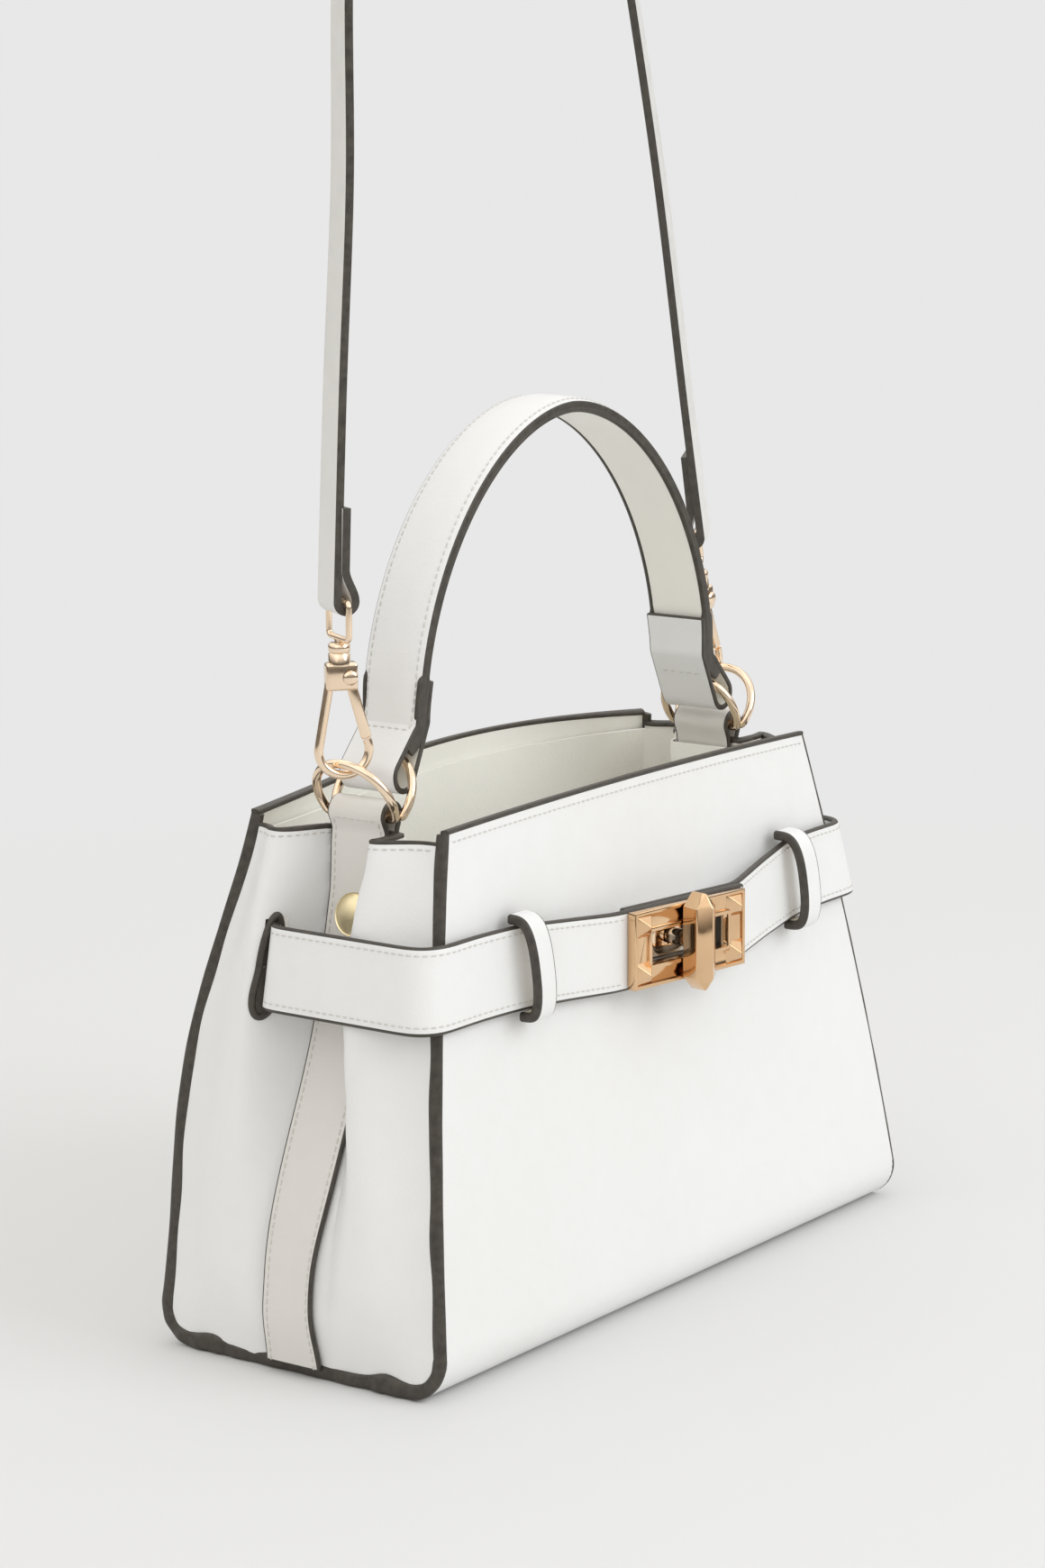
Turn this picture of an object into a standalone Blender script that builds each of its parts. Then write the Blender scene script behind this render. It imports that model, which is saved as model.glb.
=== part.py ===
"""Mini bag: a small belted handbag with an arched top handle, a turn lock and a clip-on shoulder strap.

Frame: X is the width, the front faces -Y, Z is up. The origin is the middle of the base's underside.
Left is -X. All lengths are in metres.
"""

import math

import bmesh
import bpy
from mathutils import Matrix, Vector

# Shared clearances and overruns
gap = 0.0003
cut_overrun = 0.004
weld_distance = 0.00001
round_steps = 24
small_round_steps = 16
hole_round_steps = 12
strap_columns = 2

# Bag body, measured to the outside of the leather
body_height = 0.155
front_top_half_width = 0.093
back_top_half_width = 0.099
base_half_width = 0.1225
top_half_depth = 0.0324
base_half_depth = 0.0526
side_swell = 0.0032
back_swell = 0.006
back_bow = 0.016
back_bow_skew_share = 0.6
top_edge_rise = 0.0015
base_fold_radius = 0.012
panel_thickness = 0.0022
base_seam_depth = 0.010
panel_columns = 14
panel_wall_rows = 8
panel_fold_rows = 5
panel_base_rows = 2

# Gusset, folded inward down its middle
gusset_thickness = 0.002
gusset_top_drop = 0.0035
gusset_seam_gap = 0.0005
fold_floor_out = 0.0035
fold_floor_in = 0.0106
fold_top_relief = 0.0032
fold_low_height = 0.030
fold_high_height = 0.105
fold_relief_height = 0.130
fold_foot_height = 0.020
valley_clearance = 0.0012
lobe_puff = 0.006
lobe_columns = 6
valley_columns = 2
gusset_rows = 13
gusset_row_power = 1.45

# Side tab in the gusset's fold, and the loop at its top
tab_width = 0.020
tab_thickness = 0.0018
tab_tail_rows = 2
tab_loop_steps = 16
ring_bar_rise = 0.0005
ring_tunnel_radius = 0.0032

# Press stud on the tab
stud_drop = 0.024
stud_cap_radius = 0.0062
stud_cap_rise = 0.0018
stud_rim = 0.0006
stud_crown_share = 0.6
stud_back_radius = 0.0050
stud_back_thickness = 0.0012
stud_shank_radius = 0.0014
stud_hole_clearance = 0.0003

# Lining and base board
lining_thickness = 0.0008
lining_top_drop = 0.006
lining_side_inset_top = 0.0200
lining_side_inset_base = 0.0085
lining_wall_inset = 0.0030
lining_cuts = 7
board_thickness = 0.0016
board_side_inset = 0.0055

# Belt straps and keepers
belt_width = 0.024
belt_thickness = 0.0022
belt_side_height = 0.1135
belt_lock_height = 0.1090
belt_side_stand_off = 0.0076
belt_front_stand_off = 0.0030
belt_corner_radius = 0.009
belt_slot_depth = 0.0196
belt_slot_radius = 0.004
belt_tail_inset = 0.012
belt_slot_width = 0.0036
belt_slot_margin = 0.0008
belt_turn_steps = 6
belt_columns = 4
belt_lap_steps = 4
belt_rise_rows = 2
belt_rise_place_share = 0.72
belt_rise_share = 0.45
belt_front_share = 0.5
left_belt_end = 0.0275
right_belt_end = 0.0215
keeper_place = 0.070
keeper_width = 0.0085
keeper_thickness = 0.0019
keeper_rise = 0.0072
keeper_overlap = 0.0030
keeper_steps = 14

# Turn lock, turned a little to the left about the vertical
lock_turn_degrees = 9.0
lock_stand_off = 0.0136
plate_width = 0.048
plate_height = 0.023
plate_thickness = 0.003
plate_rim = 0.0012
plate_recess = 0.0008
plate_slot_width = 0.0330
plate_slot_height = 0.0098
plate_slot_frame = 0.0014
corner_stud_size = 0.0056
corner_stud_rise = 0.0028
corner_stud_gap = 0.0003
belt_hole_margin = 0.0004
spindle_radius = 0.0025
spindle_foot_radius = 0.0042
spindle_foot_thickness = 0.0012
base_radius = 0.0075
base_strap_clearance = 0.0004
base_cover_thickness = 0.0009
washer_radius = 0.010
washer_thickness = 0.001
prong_radius = 0.0007
prong_place = 0.0062
base_root = 0.0010
turn_bar_gap = 0.0004
turn_bar_length = 0.0295
turn_bar_width = 0.0082
turn_bar_rise = 0.0085
turn_bar_tip = 0.0042
turn_bar_foot = 0.0020

# D-rings
ring_wire_radius = 0.0013
ring_side_clearance = 0.0004
ring_reach = 0.0185
ring_corner_radius = 0.0016
ring_bar_spacing = 0.0030
strap_ring_lean_degrees = 30.0
handle_ring_lean_degrees = 27.0
ring_arc_steps = 16
ring_corner_steps = 3

# Top handle
handle_spring_inset = 0.0112
handle_spring_rise = 0.0245
handle_arch_rise = 0.0865
handle_arch_power = 1.85
handle_width = 0.021
handle_end_width = 0.020
handle_outer_thickness = 0.0016
handle_padding_thickness = 0.0012
handle_inner_thickness = 0.0012
handle_padding_margin = 0.0030
handle_foot_rise = 0.0110
handle_foot_inset = 0.0060
handle_fold_radius = 0.0034
handle_return_rise = 0.0370
handle_inner_end_share = 0.02
handle_padding_end_share = 0.09
handle_arch_steps = 28
handle_fold_steps = 8
handle_return_steps = 5

# Snap hooks
hook_wire_radius = 0.0015
hook_bow_radius = 0.0072
hook_bow_offset = 0.0009
hook_nose_degrees = 22.0
hook_neck_half_width = 0.0036
hook_neck_height = 0.0225
hook_block_width = 0.0098
hook_block_low = 0.0205
hook_block_high = 0.0320
hook_block_thickness = 0.0050
hook_block_bevel = 0.0008
gate_slot_width = 0.0024
gate_slot_left = 0.0026
gate_slot_high = 0.0308
gate_thickness = 0.0016
gate_width = 0.0030
gate_pivot_height = 0.0278
gate_head_radius = 0.0023
gate_nose_clearance = 0.0004
gate_hole_clearance = 0.0003
rivet_radius = 0.0010
rivet_head_radius = 0.0021
rivet_head_thickness = 0.0006
barrel_radius = 0.0031
barrel_height = 0.0055
barrel_root = 0.0010
barrel_bore_clearance = 0.0003
eye_shank_radius = 0.0013
eye_wire_radius = 0.0011
eye_inner_width = 0.0124
eye_inner_height = 0.0090
eye_corner_radius = 0.0016
eye_corner_steps = 3
eye_shank_insertion = 0.0045
eye_barrel_gap = 0.0004
hook_bow_steps = 16
left_hook_plane_degrees = -40.0
left_hook_tilt_degrees = 0.0
left_hook_slide_degrees = 0.0
left_hook_ring_gap = 0.0004
right_hook_plane_degrees = 0.0
right_hook_tilt_degrees = -8.0
right_hook_slide_degrees = 33.0
right_hook_ring_gap = 0.0014

# Shoulder strap
strap_width = 0.0115
strap_thickness = 0.0024
strap_rise = 0.285
strap_fold_clearance = 0.0004
strap_return_length = 0.026
strap_left_twist_degrees = 29.0
strap_right_twist_degrees = 66.0
strap_steps = 54
strap_fold_steps = 8
strap_return_steps = 4

# The strap's route over the bag: shares of its span and of its rise, from the left eye to the right eye
strap_route_shares = [
    (0.000, 0.000),
    (0.019, 0.200),
    (0.043, 0.400),
    (0.048, 0.570),
    (0.060, 0.720),
    (0.110, 0.870),
    (0.235, 0.970),
    (0.375, 1.000),
    (0.520, 0.960),
    (0.640, 0.860),
    (0.720, 0.730),
    (0.795, 0.570),
    (0.872, 0.380),
    (0.948, 0.150),
    (1.000, 0.000),
]

wall_tilt = math.atan2(base_half_depth - top_half_depth, body_height)
fold_tangent = base_fold_radius / math.tan((math.pi / 2 - wall_tilt) / 2)
fold_centre_depth = base_half_depth - fold_tangent


def lerp(a, b, share):
    return a + (b - a) * share


def smooth(share):
    share = min(max(share, 0.0), 1.0)
    return share * share * (3 - 2 * share)


# The scene, collections and materials
def clear_scene():
    for obj in list(bpy.data.objects):
        bpy.data.objects.remove(obj, do_unlink=True)


def new_collection(name):
    collection = bpy.data.collections.new(name)
    bpy.context.scene.collection.children.link(collection)
    return collection


def new_material(name, colour, roughness, metallic):
    material = bpy.data.materials.new(name)
    material.use_nodes = True
    shader = material.node_tree.nodes["Principled BSDF"]
    shader.inputs["Base Color"].default_value = (*colour, 1.0)
    shader.inputs["Roughness"].default_value = roughness
    shader.inputs["Metallic"].default_value = metallic
    return material


clear_scene()
bag = new_collection("mini_bag")
cutters = new_collection("cutters")
white_leather = ((0.86, 0.86, 0.85), 0.5, 0.0)
cream_lining = ((0.74, 0.73, 0.68), 0.8, 0.0)
stiffener = ((0.55, 0.53, 0.50), 0.9, 0.0)
foam = ((0.80, 0.80, 0.78), 0.9, 0.0)
rose_gold = ((0.86, 0.62, 0.46), 0.25, 1.0)
yellow_gold = ((0.90, 0.72, 0.36), 0.25, 1.0)


# Building helpers
def add_object(name, data, finish=None):
    """A part with its own material, or a cutter where no finish is given."""
    obj = bpy.data.objects.new(name, data)
    if finish:
        bag.objects.link(obj)
        data.materials.append(new_material(name, *finish))
    else:
        cutters.objects.link(obj)
        obj.hide_render = True
        obj.display_type = "WIRE"
    return obj


def mesh_from(bm, name):
    mesh = bpy.data.meshes.new(name)
    bm.to_mesh(mesh)
    bm.free()
    return mesh


def formed_sheet(name, place, columns, rows, thickness, finish, offset=1.0):
    """A flat grid whose vertices are placed by column and row, thickened by Solidify."""
    bm = bmesh.new()
    bmesh.ops.create_grid(bm, x_segments=columns, y_segments=rows, size=1.0)
    for vert in bm.verts:
        column = round((vert.co.x + 1) / 2 * columns)
        row = round((vert.co.y + 1) / 2 * rows)
        vert.co = place(column, row)
    obj = add_object(name, mesh_from(bm, name), finish)
    obj.data.shade_smooth()
    solid = obj.modifiers.new("thickness", "SOLIDIFY")
    solid.thickness = thickness
    solid.offset = offset
    return obj


def ribbon(name, centres, widths, thickness, finish):
    """A flat strap along a line of (point, width direction) pairs, thickened to both sides."""

    def place(column, row):
        point, across = centres[row]
        return point + across * (column / strap_columns - 0.5) * widths[row]

    return formed_sheet(name, place, strap_columns, len(centres) - 1, thickness, finish, 0.0)


def strap(name, line, widths, thickness, finish):
    """A strap whose outer face follows a line of (x, z) points, with its width along Y."""

    def place(column, row):
        x, z = line[row]
        return Vector((x, (column / strap_columns - 0.5) * widths[row], z))

    return formed_sheet(name, place, strap_columns, len(line) - 1, thickness, finish)


def tube(name, points, radius, finish, cyclic=False, resolution=2):
    """A round wire along a POLY spline."""
    curve = bpy.data.curves.new(name, "CURVE")
    curve.dimensions = "3D"
    spline = curve.splines.new("POLY")
    spline.points.add(len(points) - 1)
    for spot, point in zip(spline.points, points):
        spot.co = (*point, 1.0)
    spline.use_cyclic_u = cyclic
    curve.bevel_depth = radius
    curve.bevel_resolution = resolution
    curve.use_fill_caps = not cyclic
    return add_object(name, curve, finish)


def as_mesh(obj):
    """Turns a curve object into a mesh object with welded caps, for a Boolean."""
    bpy.context.view_layer.update()
    evaluated = obj.evaluated_get(bpy.context.evaluated_depsgraph_get())
    mesh = bpy.data.meshes.new_from_object(evaluated)
    bm = bmesh.new()
    bm.from_mesh(mesh)
    bmesh.ops.remove_doubles(bm, verts=bm.verts, dist=weld_distance)
    bm.to_mesh(mesh)
    bm.free()
    name, matrix = obj.name, obj.matrix_world.copy()
    collection = obj.users_collection[0]
    hidden = obj.hide_render
    bpy.data.objects.remove(obj, do_unlink=True)
    made = bpy.data.objects.new(name, mesh)
    collection.objects.link(made)
    made.matrix_world = matrix
    made.hide_render = hidden
    made.display_type = "WIRE" if hidden else "TEXTURED"
    return made


def block(name, size, matrix, finish=None):
    """A box of a size, centred on the matrix."""
    bm = bmesh.new()
    bmesh.ops.create_cube(bm, size=1.0, matrix=matrix @ Matrix.Diagonal((*size, 1)))
    return add_object(name, mesh_from(bm, name), finish)


def cylinder(name, radius, low, high, matrix, finish=None, steps=round_steps):
    """A cylinder along the matrix's Z, between two heights."""
    bm = bmesh.new()
    place = matrix @ Matrix.Translation((0, 0, (low + high) / 2))
    bmesh.ops.create_cone(
        bm,
        cap_ends=True,
        segments=steps,
        radius1=radius,
        radius2=radius,
        depth=high - low,
        matrix=place,
    )
    return add_object(name, mesh_from(bm, name), finish)


def turned(name, profile, matrix, finish, steps=round_steps):
    """A turned shape: (radius, height) pairs from top to bottom, spun about the matrix's Z."""
    bm = bmesh.new()
    verts = [bm.verts.new((radius, 0, height)) for radius, height in profile]
    for first, second in zip(verts, verts[1:]):
        bm.edges.new((first, second))
    obj = add_object(name, mesh_from(bm, name), finish)
    obj.matrix_world = matrix
    screw = obj.modifiers.new("turn", "SCREW")
    screw.steps = steps
    screw.render_steps = steps
    screw.use_merge_vertices = True
    screw.merge_threshold = weld_distance
    return obj


def boolean(obj, tool, operation="DIFFERENCE"):
    modifier = obj.modifiers.new(operation.lower(), "BOOLEAN")
    modifier.operation = operation
    modifier.object = tool
    modifier.solver = "EXACT"


def mirrored(source, name):
    """The right-hand copy of a left-hand sheet, with its own mesh and material and the same modifiers."""
    obj = source.copy()
    obj.data = source.data.copy()
    obj.name = name
    bag.objects.link(obj)
    material = source.data.materials[0].copy()
    material.name = name
    obj.data.materials[0] = material
    obj.data.transform(Matrix.Diagonal((-1, 1, 1, 1)))
    obj.data.flip_normals()
    return obj


def axis_matrix(origin, along, across):
    """A frame at a point whose Z runs along one direction and whose X lies nearest another."""
    z = Vector(along).normalized()
    y = z.cross(Vector(across)).normalized()
    x = y.cross(z)
    matrix = Matrix((x, y, z)).transposed().to_4x4()
    matrix.translation = origin
    return matrix


def offset_line(line, distance):
    """Moves an (x, z) line sideways, to the side that its straps thicken to."""
    moved = []
    for i, (x, z) in enumerate(line):
        x0, z0 = line[max(i - 1, 0)]
        x1, z1 = line[min(i + 1, len(line) - 1)]
        length = math.hypot(x1 - x0, z1 - z0)
        moved.append((x + distance * (z1 - z0) / length, z - distance * (x1 - x0) / length))
    return moved


def arc(centre, radius, start, end, steps):
    """(x, z) points round a centre, between two angles in degrees."""
    points = []
    for step in range(steps + 1):
        angle = math.radians(lerp(start, end, step / steps))
        points.append((centre[0] + radius * math.cos(angle), centre[1] + radius * math.sin(angle)))
    return points


# Body surfaces
def side_half_width(height, top_half_width):
    share = height / body_height
    swell = side_swell * 4 * share * (1 - share)
    return lerp(base_half_width, top_half_width, share) + swell


def wall_depth(height, inset=0.0, swell=0.0):
    """Distance from the middle to a wall's surface, inset by some of its thickness."""
    start = base_fold_radius + (base_fold_radius - inset) * math.sin(wall_tilt)
    if height < start:
        drop = base_fold_radius - height
        reach = base_fold_radius - inset
        return fold_centre_depth + math.sqrt(max(reach * reach - drop * drop, 0.0))
    straight = lerp(base_half_depth, top_half_depth, height / body_height)
    rise = min((height - start) / (body_height - start), 1.0)
    return straight - inset / math.cos(wall_tilt) + swell * math.sin(math.pi * rise) ** 2


def panel_outline(seam_reach):
    """(depth, height) points of a panel from its top edge down, round the fold and under the base."""
    turn = math.pi / 2 + wall_tilt
    start = base_fold_radius * (1 + math.sin(wall_tilt))
    outline = []
    for row in range(panel_wall_rows):
        height = lerp(body_height, start, row / panel_wall_rows)
        outline.append((None, height))
    for row in range(panel_fold_rows + 1):
        angle = wall_tilt - turn * row / panel_fold_rows
        depth = fold_centre_depth + base_fold_radius * math.cos(angle)
        outline.append((depth, base_fold_radius * (1 + math.sin(angle))))
    for row in range(1, panel_base_rows + 1):
        outline.append((lerp(fold_centre_depth, seam_reach, row / panel_base_rows), 0.0))
    return outline


def panel(name, facing, top_half_width, swell, bow, seam_reach):
    """facing is -1 for the front panel and 1 for the back panel."""
    outline = panel_outline(seam_reach)
    rows = len(outline) - 1

    def place(column, row):
        across = (column / panel_columns * 2 - 1) * -facing
        depth, height = outline[row]
        if depth is None:
            depth = wall_depth(height, 0.0, swell)
        share = height / body_height
        crown = 1 - across * across
        depth += bow * crown * (1 + back_bow_skew_share * across) * share * share
        top = top_edge_rise * crown * share**4
        half_width = side_half_width(height, top_half_width)
        return Vector((across * half_width, facing * depth, height + top))

    return formed_sheet(name, place, panel_columns, rows, panel_thickness, white_leather)


def fold_floor(height):
    """How far the gusset's middle stands out of (or, below zero, in from) the side seams."""
    rise = (height - fold_low_height) / (fold_high_height - fold_low_height)
    floor = lerp(fold_floor_out, -fold_floor_in, smooth(rise))
    relief = (height - fold_relief_height) / (body_height - fold_relief_height)
    return floor * smooth(height / fold_foot_height) + fold_top_relief * smooth(relief)


def middle_half_width(height):
    front = side_half_width(height, front_top_half_width)
    back = side_half_width(height, back_top_half_width)
    return (front + back) / 2


def floor_x(height):
    """Half width of the outer face of the gusset's folded-in middle."""
    return middle_half_width(height) + fold_floor(height)


def gusset_point(across, height):
    """A point of the left gusset's outer face; across runs from -1 at the front to 1 at the back."""
    inset = panel_thickness + gusset_seam_gap
    depth = wall_depth(height, inset, back_swell if across > 0 else 0.0)
    y = across * depth
    half_width = lerp(
        side_half_width(height, front_top_half_width),
        side_half_width(height, back_top_half_width),
        (across + 1) / 2,
    )
    valley = tab_width / 2 + valley_clearance
    if abs(y) <= valley:
        return Vector((-floor_x(height), y, height))
    run = (abs(y) - valley) / (depth - valley)
    floor = fold_floor(height) * (1 - run) ** 3
    puff = lobe_puff * math.sin(math.pi * run) ** 2 * smooth(height / fold_low_height)
    return Vector((-half_width - floor - puff, y, height))


gusset_low = panel_thickness + gap
gusset_high = body_height - gusset_top_drop
stud_height = gusset_high - stud_drop
ring_bar_height = body_height + ring_bar_rise


def gusset_row_height(row):
    return lerp(gusset_low, gusset_high, (row / gusset_rows) ** gusset_row_power)


def gusset_across(column, depth):
    """The share across the gusset of one of its columns, with columns on the valley's edges."""
    valley = (tab_width / 2 + valley_clearance) / depth
    if column <= lobe_columns:
        return lerp(-1.0, -valley, column / lobe_columns)
    if column <= lobe_columns + valley_columns:
        return lerp(-valley, valley, (column - lobe_columns) / valley_columns)
    return lerp(valley, 1.0, (column - lobe_columns - valley_columns) / lobe_columns)


def left_gusset():
    columns = 2 * lobe_columns + valley_columns

    def place(column, row):
        height = gusset_row_height(row)
        inset = panel_thickness + gusset_seam_gap
        swell = back_swell if column > columns / 2 else 0.0
        across = gusset_across(column, wall_depth(height, inset, swell))
        return gusset_point(across, height)

    return formed_sheet("left_gusset", place, columns, gusset_rows, gusset_thickness, white_leather)


# Belt geometry: where the strap runs at a given height
lock_face_depth = wall_depth(belt_lock_height) + lock_stand_off


def belt_corner_line(height, side):
    """(x, y) points of the belt's outer face from the tail inside the gusset to the front keeper."""
    front_width = side_half_width(height, front_top_half_width)
    outer = middle_half_width(height) + belt_side_stand_off
    front = wall_depth(height) + belt_front_stand_off
    inner_turn = belt_slot_radius
    points = [(middle_half_width(height) - belt_tail_inset, belt_slot_depth)]
    points.append((outer - inner_turn - lobe_puff, belt_slot_depth))
    for step in range(belt_turn_steps + 1):
        angle = math.pi / 2 * (1 - step / belt_turn_steps)
        points.append(
            (
                outer - inner_turn + inner_turn * math.cos(angle),
                belt_slot_depth - inner_turn + inner_turn * math.sin(angle),
            )
        )
    points.append((outer, 0.0))
    radius = belt_corner_radius
    for step in range(belt_turn_steps + 1):
        angle = -math.pi / 2 * step / belt_turn_steps
        points.append(
            (
                outer - radius + radius * math.cos(angle),
                -front + radius + radius * math.sin(angle),
            )
        )
    points.append((lerp(keeper_place, front_width, belt_front_share), -front))
    points.append((keeper_place, -front))
    return [(side * x, y) for x, y in points]


def lock_plane_y(x, stand_back):
    """Depth of a plane parallel to the lock's face, stand_back behind it."""
    turn = math.radians(lock_turn_degrees)
    return -lock_face_depth + stand_back / math.cos(turn) - x * math.tan(turn)


def belt_strap(name, side, end, stand_back):
    """One belt strap, its outer face placed by height; stand_back is its place behind the lock's face."""
    corner_count = len(belt_corner_line(belt_side_height, side))
    lap_steps = range(belt_lap_steps + 1)
    lock_xs = [side * keeper_place * belt_rise_place_share]
    lock_xs += [lerp(side * left_belt_end, end, step / belt_lap_steps) for step in lap_steps]
    rows = corner_count + len(lock_xs) - 1

    def place(column, row):
        lift = (column / belt_columns - 0.5) * belt_width
        if row < corner_count:
            height = belt_side_height
        else:
            share = (row - corner_count + 1) / belt_rise_rows
            height = lerp(belt_side_height, belt_lock_height, smooth(share))
        height += lift
        if row < corner_count:
            x, y = belt_corner_line(height, side)[row]
            return Vector((x, y, height))
        x = lock_xs[row - corner_count]
        y = lock_plane_y(x, stand_back)
        if row == corner_count:
            front = -wall_depth(height) - belt_front_stand_off
            y = lerp(front, lock_plane_y(side * left_belt_end, stand_back), belt_rise_share)
        return Vector((x, y, height))

    return formed_sheet(name, place, belt_columns, rows, belt_thickness, white_leather, -side)


def belt_slot(side):
    """The cut in a gusset that the belt's tail passes through."""
    centre = Vector((side * middle_half_width(belt_side_height), belt_slot_depth, belt_side_height))
    centre.y -= belt_thickness / 2
    size = (2 * belt_tail_inset, belt_slot_width, belt_width + 2 * belt_slot_margin)
    return block("belt_slot_cut", size, Matrix.Translation(centre))


def keeper(name, side):
    """A leather loop stitched flat to the front, above and below the belt."""
    half = belt_width / 2 + gap

    def place(column, row):
        share = row / keeper_steps
        lift = -math.cos(math.pi * share) * (half + keeper_overlap)
        height = belt_side_height + lift
        ramp = smooth((half + keeper_overlap - abs(lift)) / keeper_overlap)
        depth = wall_depth(height) + gap + keeper_thickness + keeper_rise * ramp
        x = side * keeper_place + (column / strap_columns - 0.5) * keeper_width
        return Vector((x, -depth, height))

    return formed_sheet(name, place, strap_columns, keeper_steps, keeper_thickness, white_leather, -1.0)


ring_bar_width = floor_x(gusset_high) - gusset_thickness / 2


# Side tab
def fold_offset(height, distance):
    """Half width of a line that lies a distance off the gusset's floor."""
    step = (gusset_high - gusset_low) / gusset_rows
    slope = (floor_x(height + step / 2) - floor_x(height - step / 2)) / step
    return floor_x(height) + distance * math.hypot(1, slope)


def tab_line():
    """(half width, height) of the left tab's outer face: up the fold, over the bars and down inside."""
    rows = range(gusset_rows + 1)
    heights = [gusset_row_height(row) for row in rows]
    tail_rows = [row for row in reversed(rows) if row >= gusset_rows - tab_tail_rows]
    outer = [(-fold_offset(h, gap + tab_thickness), h) for h in heights]
    loop = arc((-ring_bar_width, ring_bar_height), ring_tunnel_radius + tab_thickness, 180, 0, tab_loop_steps)
    inside = gusset_thickness + gap + tab_thickness
    inner = [(-fold_offset(heights[row], -inside), heights[row]) for row in tail_rows]
    return outer + loop + inner


def stud_matrix(side):
    """On the tab's outer face, with Z pointing out of the fold."""
    line = [point for point in tab_line() if point[1] <= gusset_high][: gusset_rows + 1]
    for (x0, z0), (x1, z1) in zip(line, line[1:]):
        if z0 <= stud_height <= z1:
            x = lerp(x0, x1, (stud_height - z0) / (z1 - z0))
            out = Vector((side * (z1 - z0), 0, x1 - x0))
            return axis_matrix((-side * x, 0, stud_height), out, (0, 1, 0))
    return Matrix.Identity(4)


# The two sheets and the board that make the body's inside
def lining_wall(height, facing, across):
    inset = panel_thickness + lining_wall_inset
    if facing < 0:
        return wall_depth(height, inset)
    share = height / body_height
    bow = back_bow * (1 - across * across) * (1 + back_bow_skew_share * across) * share * share
    return wall_depth(height, inset, back_swell) + bow


def lining():
    """An open-topped bag that stands inside the panels and the gussets."""
    low = panel_thickness + board_thickness + 2 * gap
    high = body_height - lining_top_drop
    bm = bmesh.new()
    bmesh.ops.create_cube(bm, size=2.0)
    bmesh.ops.subdivide_edges(bm, edges=bm.edges, cuts=lining_cuts, use_grid_fill=True)
    top = [face for face in bm.faces if face.calc_center_median().z > 1 - weld_distance]
    bmesh.ops.delete(bm, geom=top, context="FACES")
    for vert in bm.verts:
        u, v, w = vert.co
        height = lerp(low, high, (w + 1) / 2)
        half = side_half_width(height, lerp(front_top_half_width, back_top_half_width, (v + 1) / 2))
        half -= lerp(lining_side_inset_base, lining_side_inset_top, height / body_height)
        front = -lining_wall(height, -1, u)
        back = lining_wall(height, 1, u)
        vert.co = Vector((u * half, lerp(front, back, (v + 1) / 2), height))
    obj = add_object("lining", mesh_from(bm, "lining"), cream_lining)
    solid = obj.modifiers.new("thickness", "SOLIDIFY")
    solid.thickness = lining_thickness
    solid.offset = -1.0
    return obj


# Turn lock. Its frame has X along the plate, Y up the bag and Z out of the plate's face.
def lock_matrix():
    turn = math.radians(lock_turn_degrees)
    out = Vector((-math.sin(turn), -math.cos(turn), 0))
    return axis_matrix((0, -lock_face_depth, belt_lock_height), out, (1, 0, 0))


left_belt_back = plate_thickness + gap
right_belt_back = left_belt_back + belt_thickness + gap
boss_face = -(right_belt_back + belt_thickness + base_strap_clearance)
foot_top = boss_face - base_cover_thickness - gap


def lock_plate(frame):
    bm = bmesh.new()
    size = Matrix.Diagonal((plate_width, plate_height, plate_thickness, 1))
    middle = Matrix.Translation((0, 0, -plate_thickness / 2))
    bmesh.ops.create_cube(bm, size=1.0, matrix=middle @ size)
    face = [f for f in bm.faces if f.normal.z > 0.5]
    bmesh.ops.inset_region(bm, faces=face, thickness=plate_rim, depth=0, use_even_offset=True)
    bmesh.ops.translate(bm, verts=face[0].verts, vec=(0, 0, -plate_recess))
    bm.transform(frame)
    plate = add_object("lock_plate", mesh_from(bm, "lock_plate"), rose_gold)
    border = (plate_slot_width + 2 * plate_slot_frame, plate_slot_height + 2 * plate_slot_frame)
    depth = plate_thickness / 2
    place = frame @ Matrix.Translation((0, 0, -depth / 2))
    boolean(plate, block("slot_border", (*border, depth), place), "UNION")
    through = (plate_slot_width, plate_slot_height, 2 * plate_thickness + 2 * cut_overrun)
    boolean(plate, block("slot_cut", through, frame))
    x = plate_width / 2 - plate_rim - corner_stud_gap - corner_stud_size / 2
    y = plate_height / 2 - plate_rim - corner_stud_gap - corner_stud_size / 2
    for right in (-1, 1):
        for up in (-1, 1):
            boolean(plate, pyramid(frame @ Matrix.Translation((right * x, up * y, 0))), "UNION")
    return plate


def pyramid(place):
    """A square stud rooted in the plate's recessed face."""
    root = plate_thickness / 2
    bm = bmesh.new()
    turn = Matrix.Rotation(math.pi / 4, 4, "Z")
    lift = Matrix.Translation((0, 0, (corner_stud_rise - root) / 2))
    height = corner_stud_rise + root
    radius = corner_stud_size / math.sqrt(2) * height / corner_stud_rise
    bmesh.ops.create_cone(
        bm,
        cap_ends=True,
        segments=4,
        radius1=radius,
        radius2=0,
        depth=height,
        matrix=place @ lift @ turn,
    )
    return add_object("corner_stud", mesh_from(bm, "corner_stud"))


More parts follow.
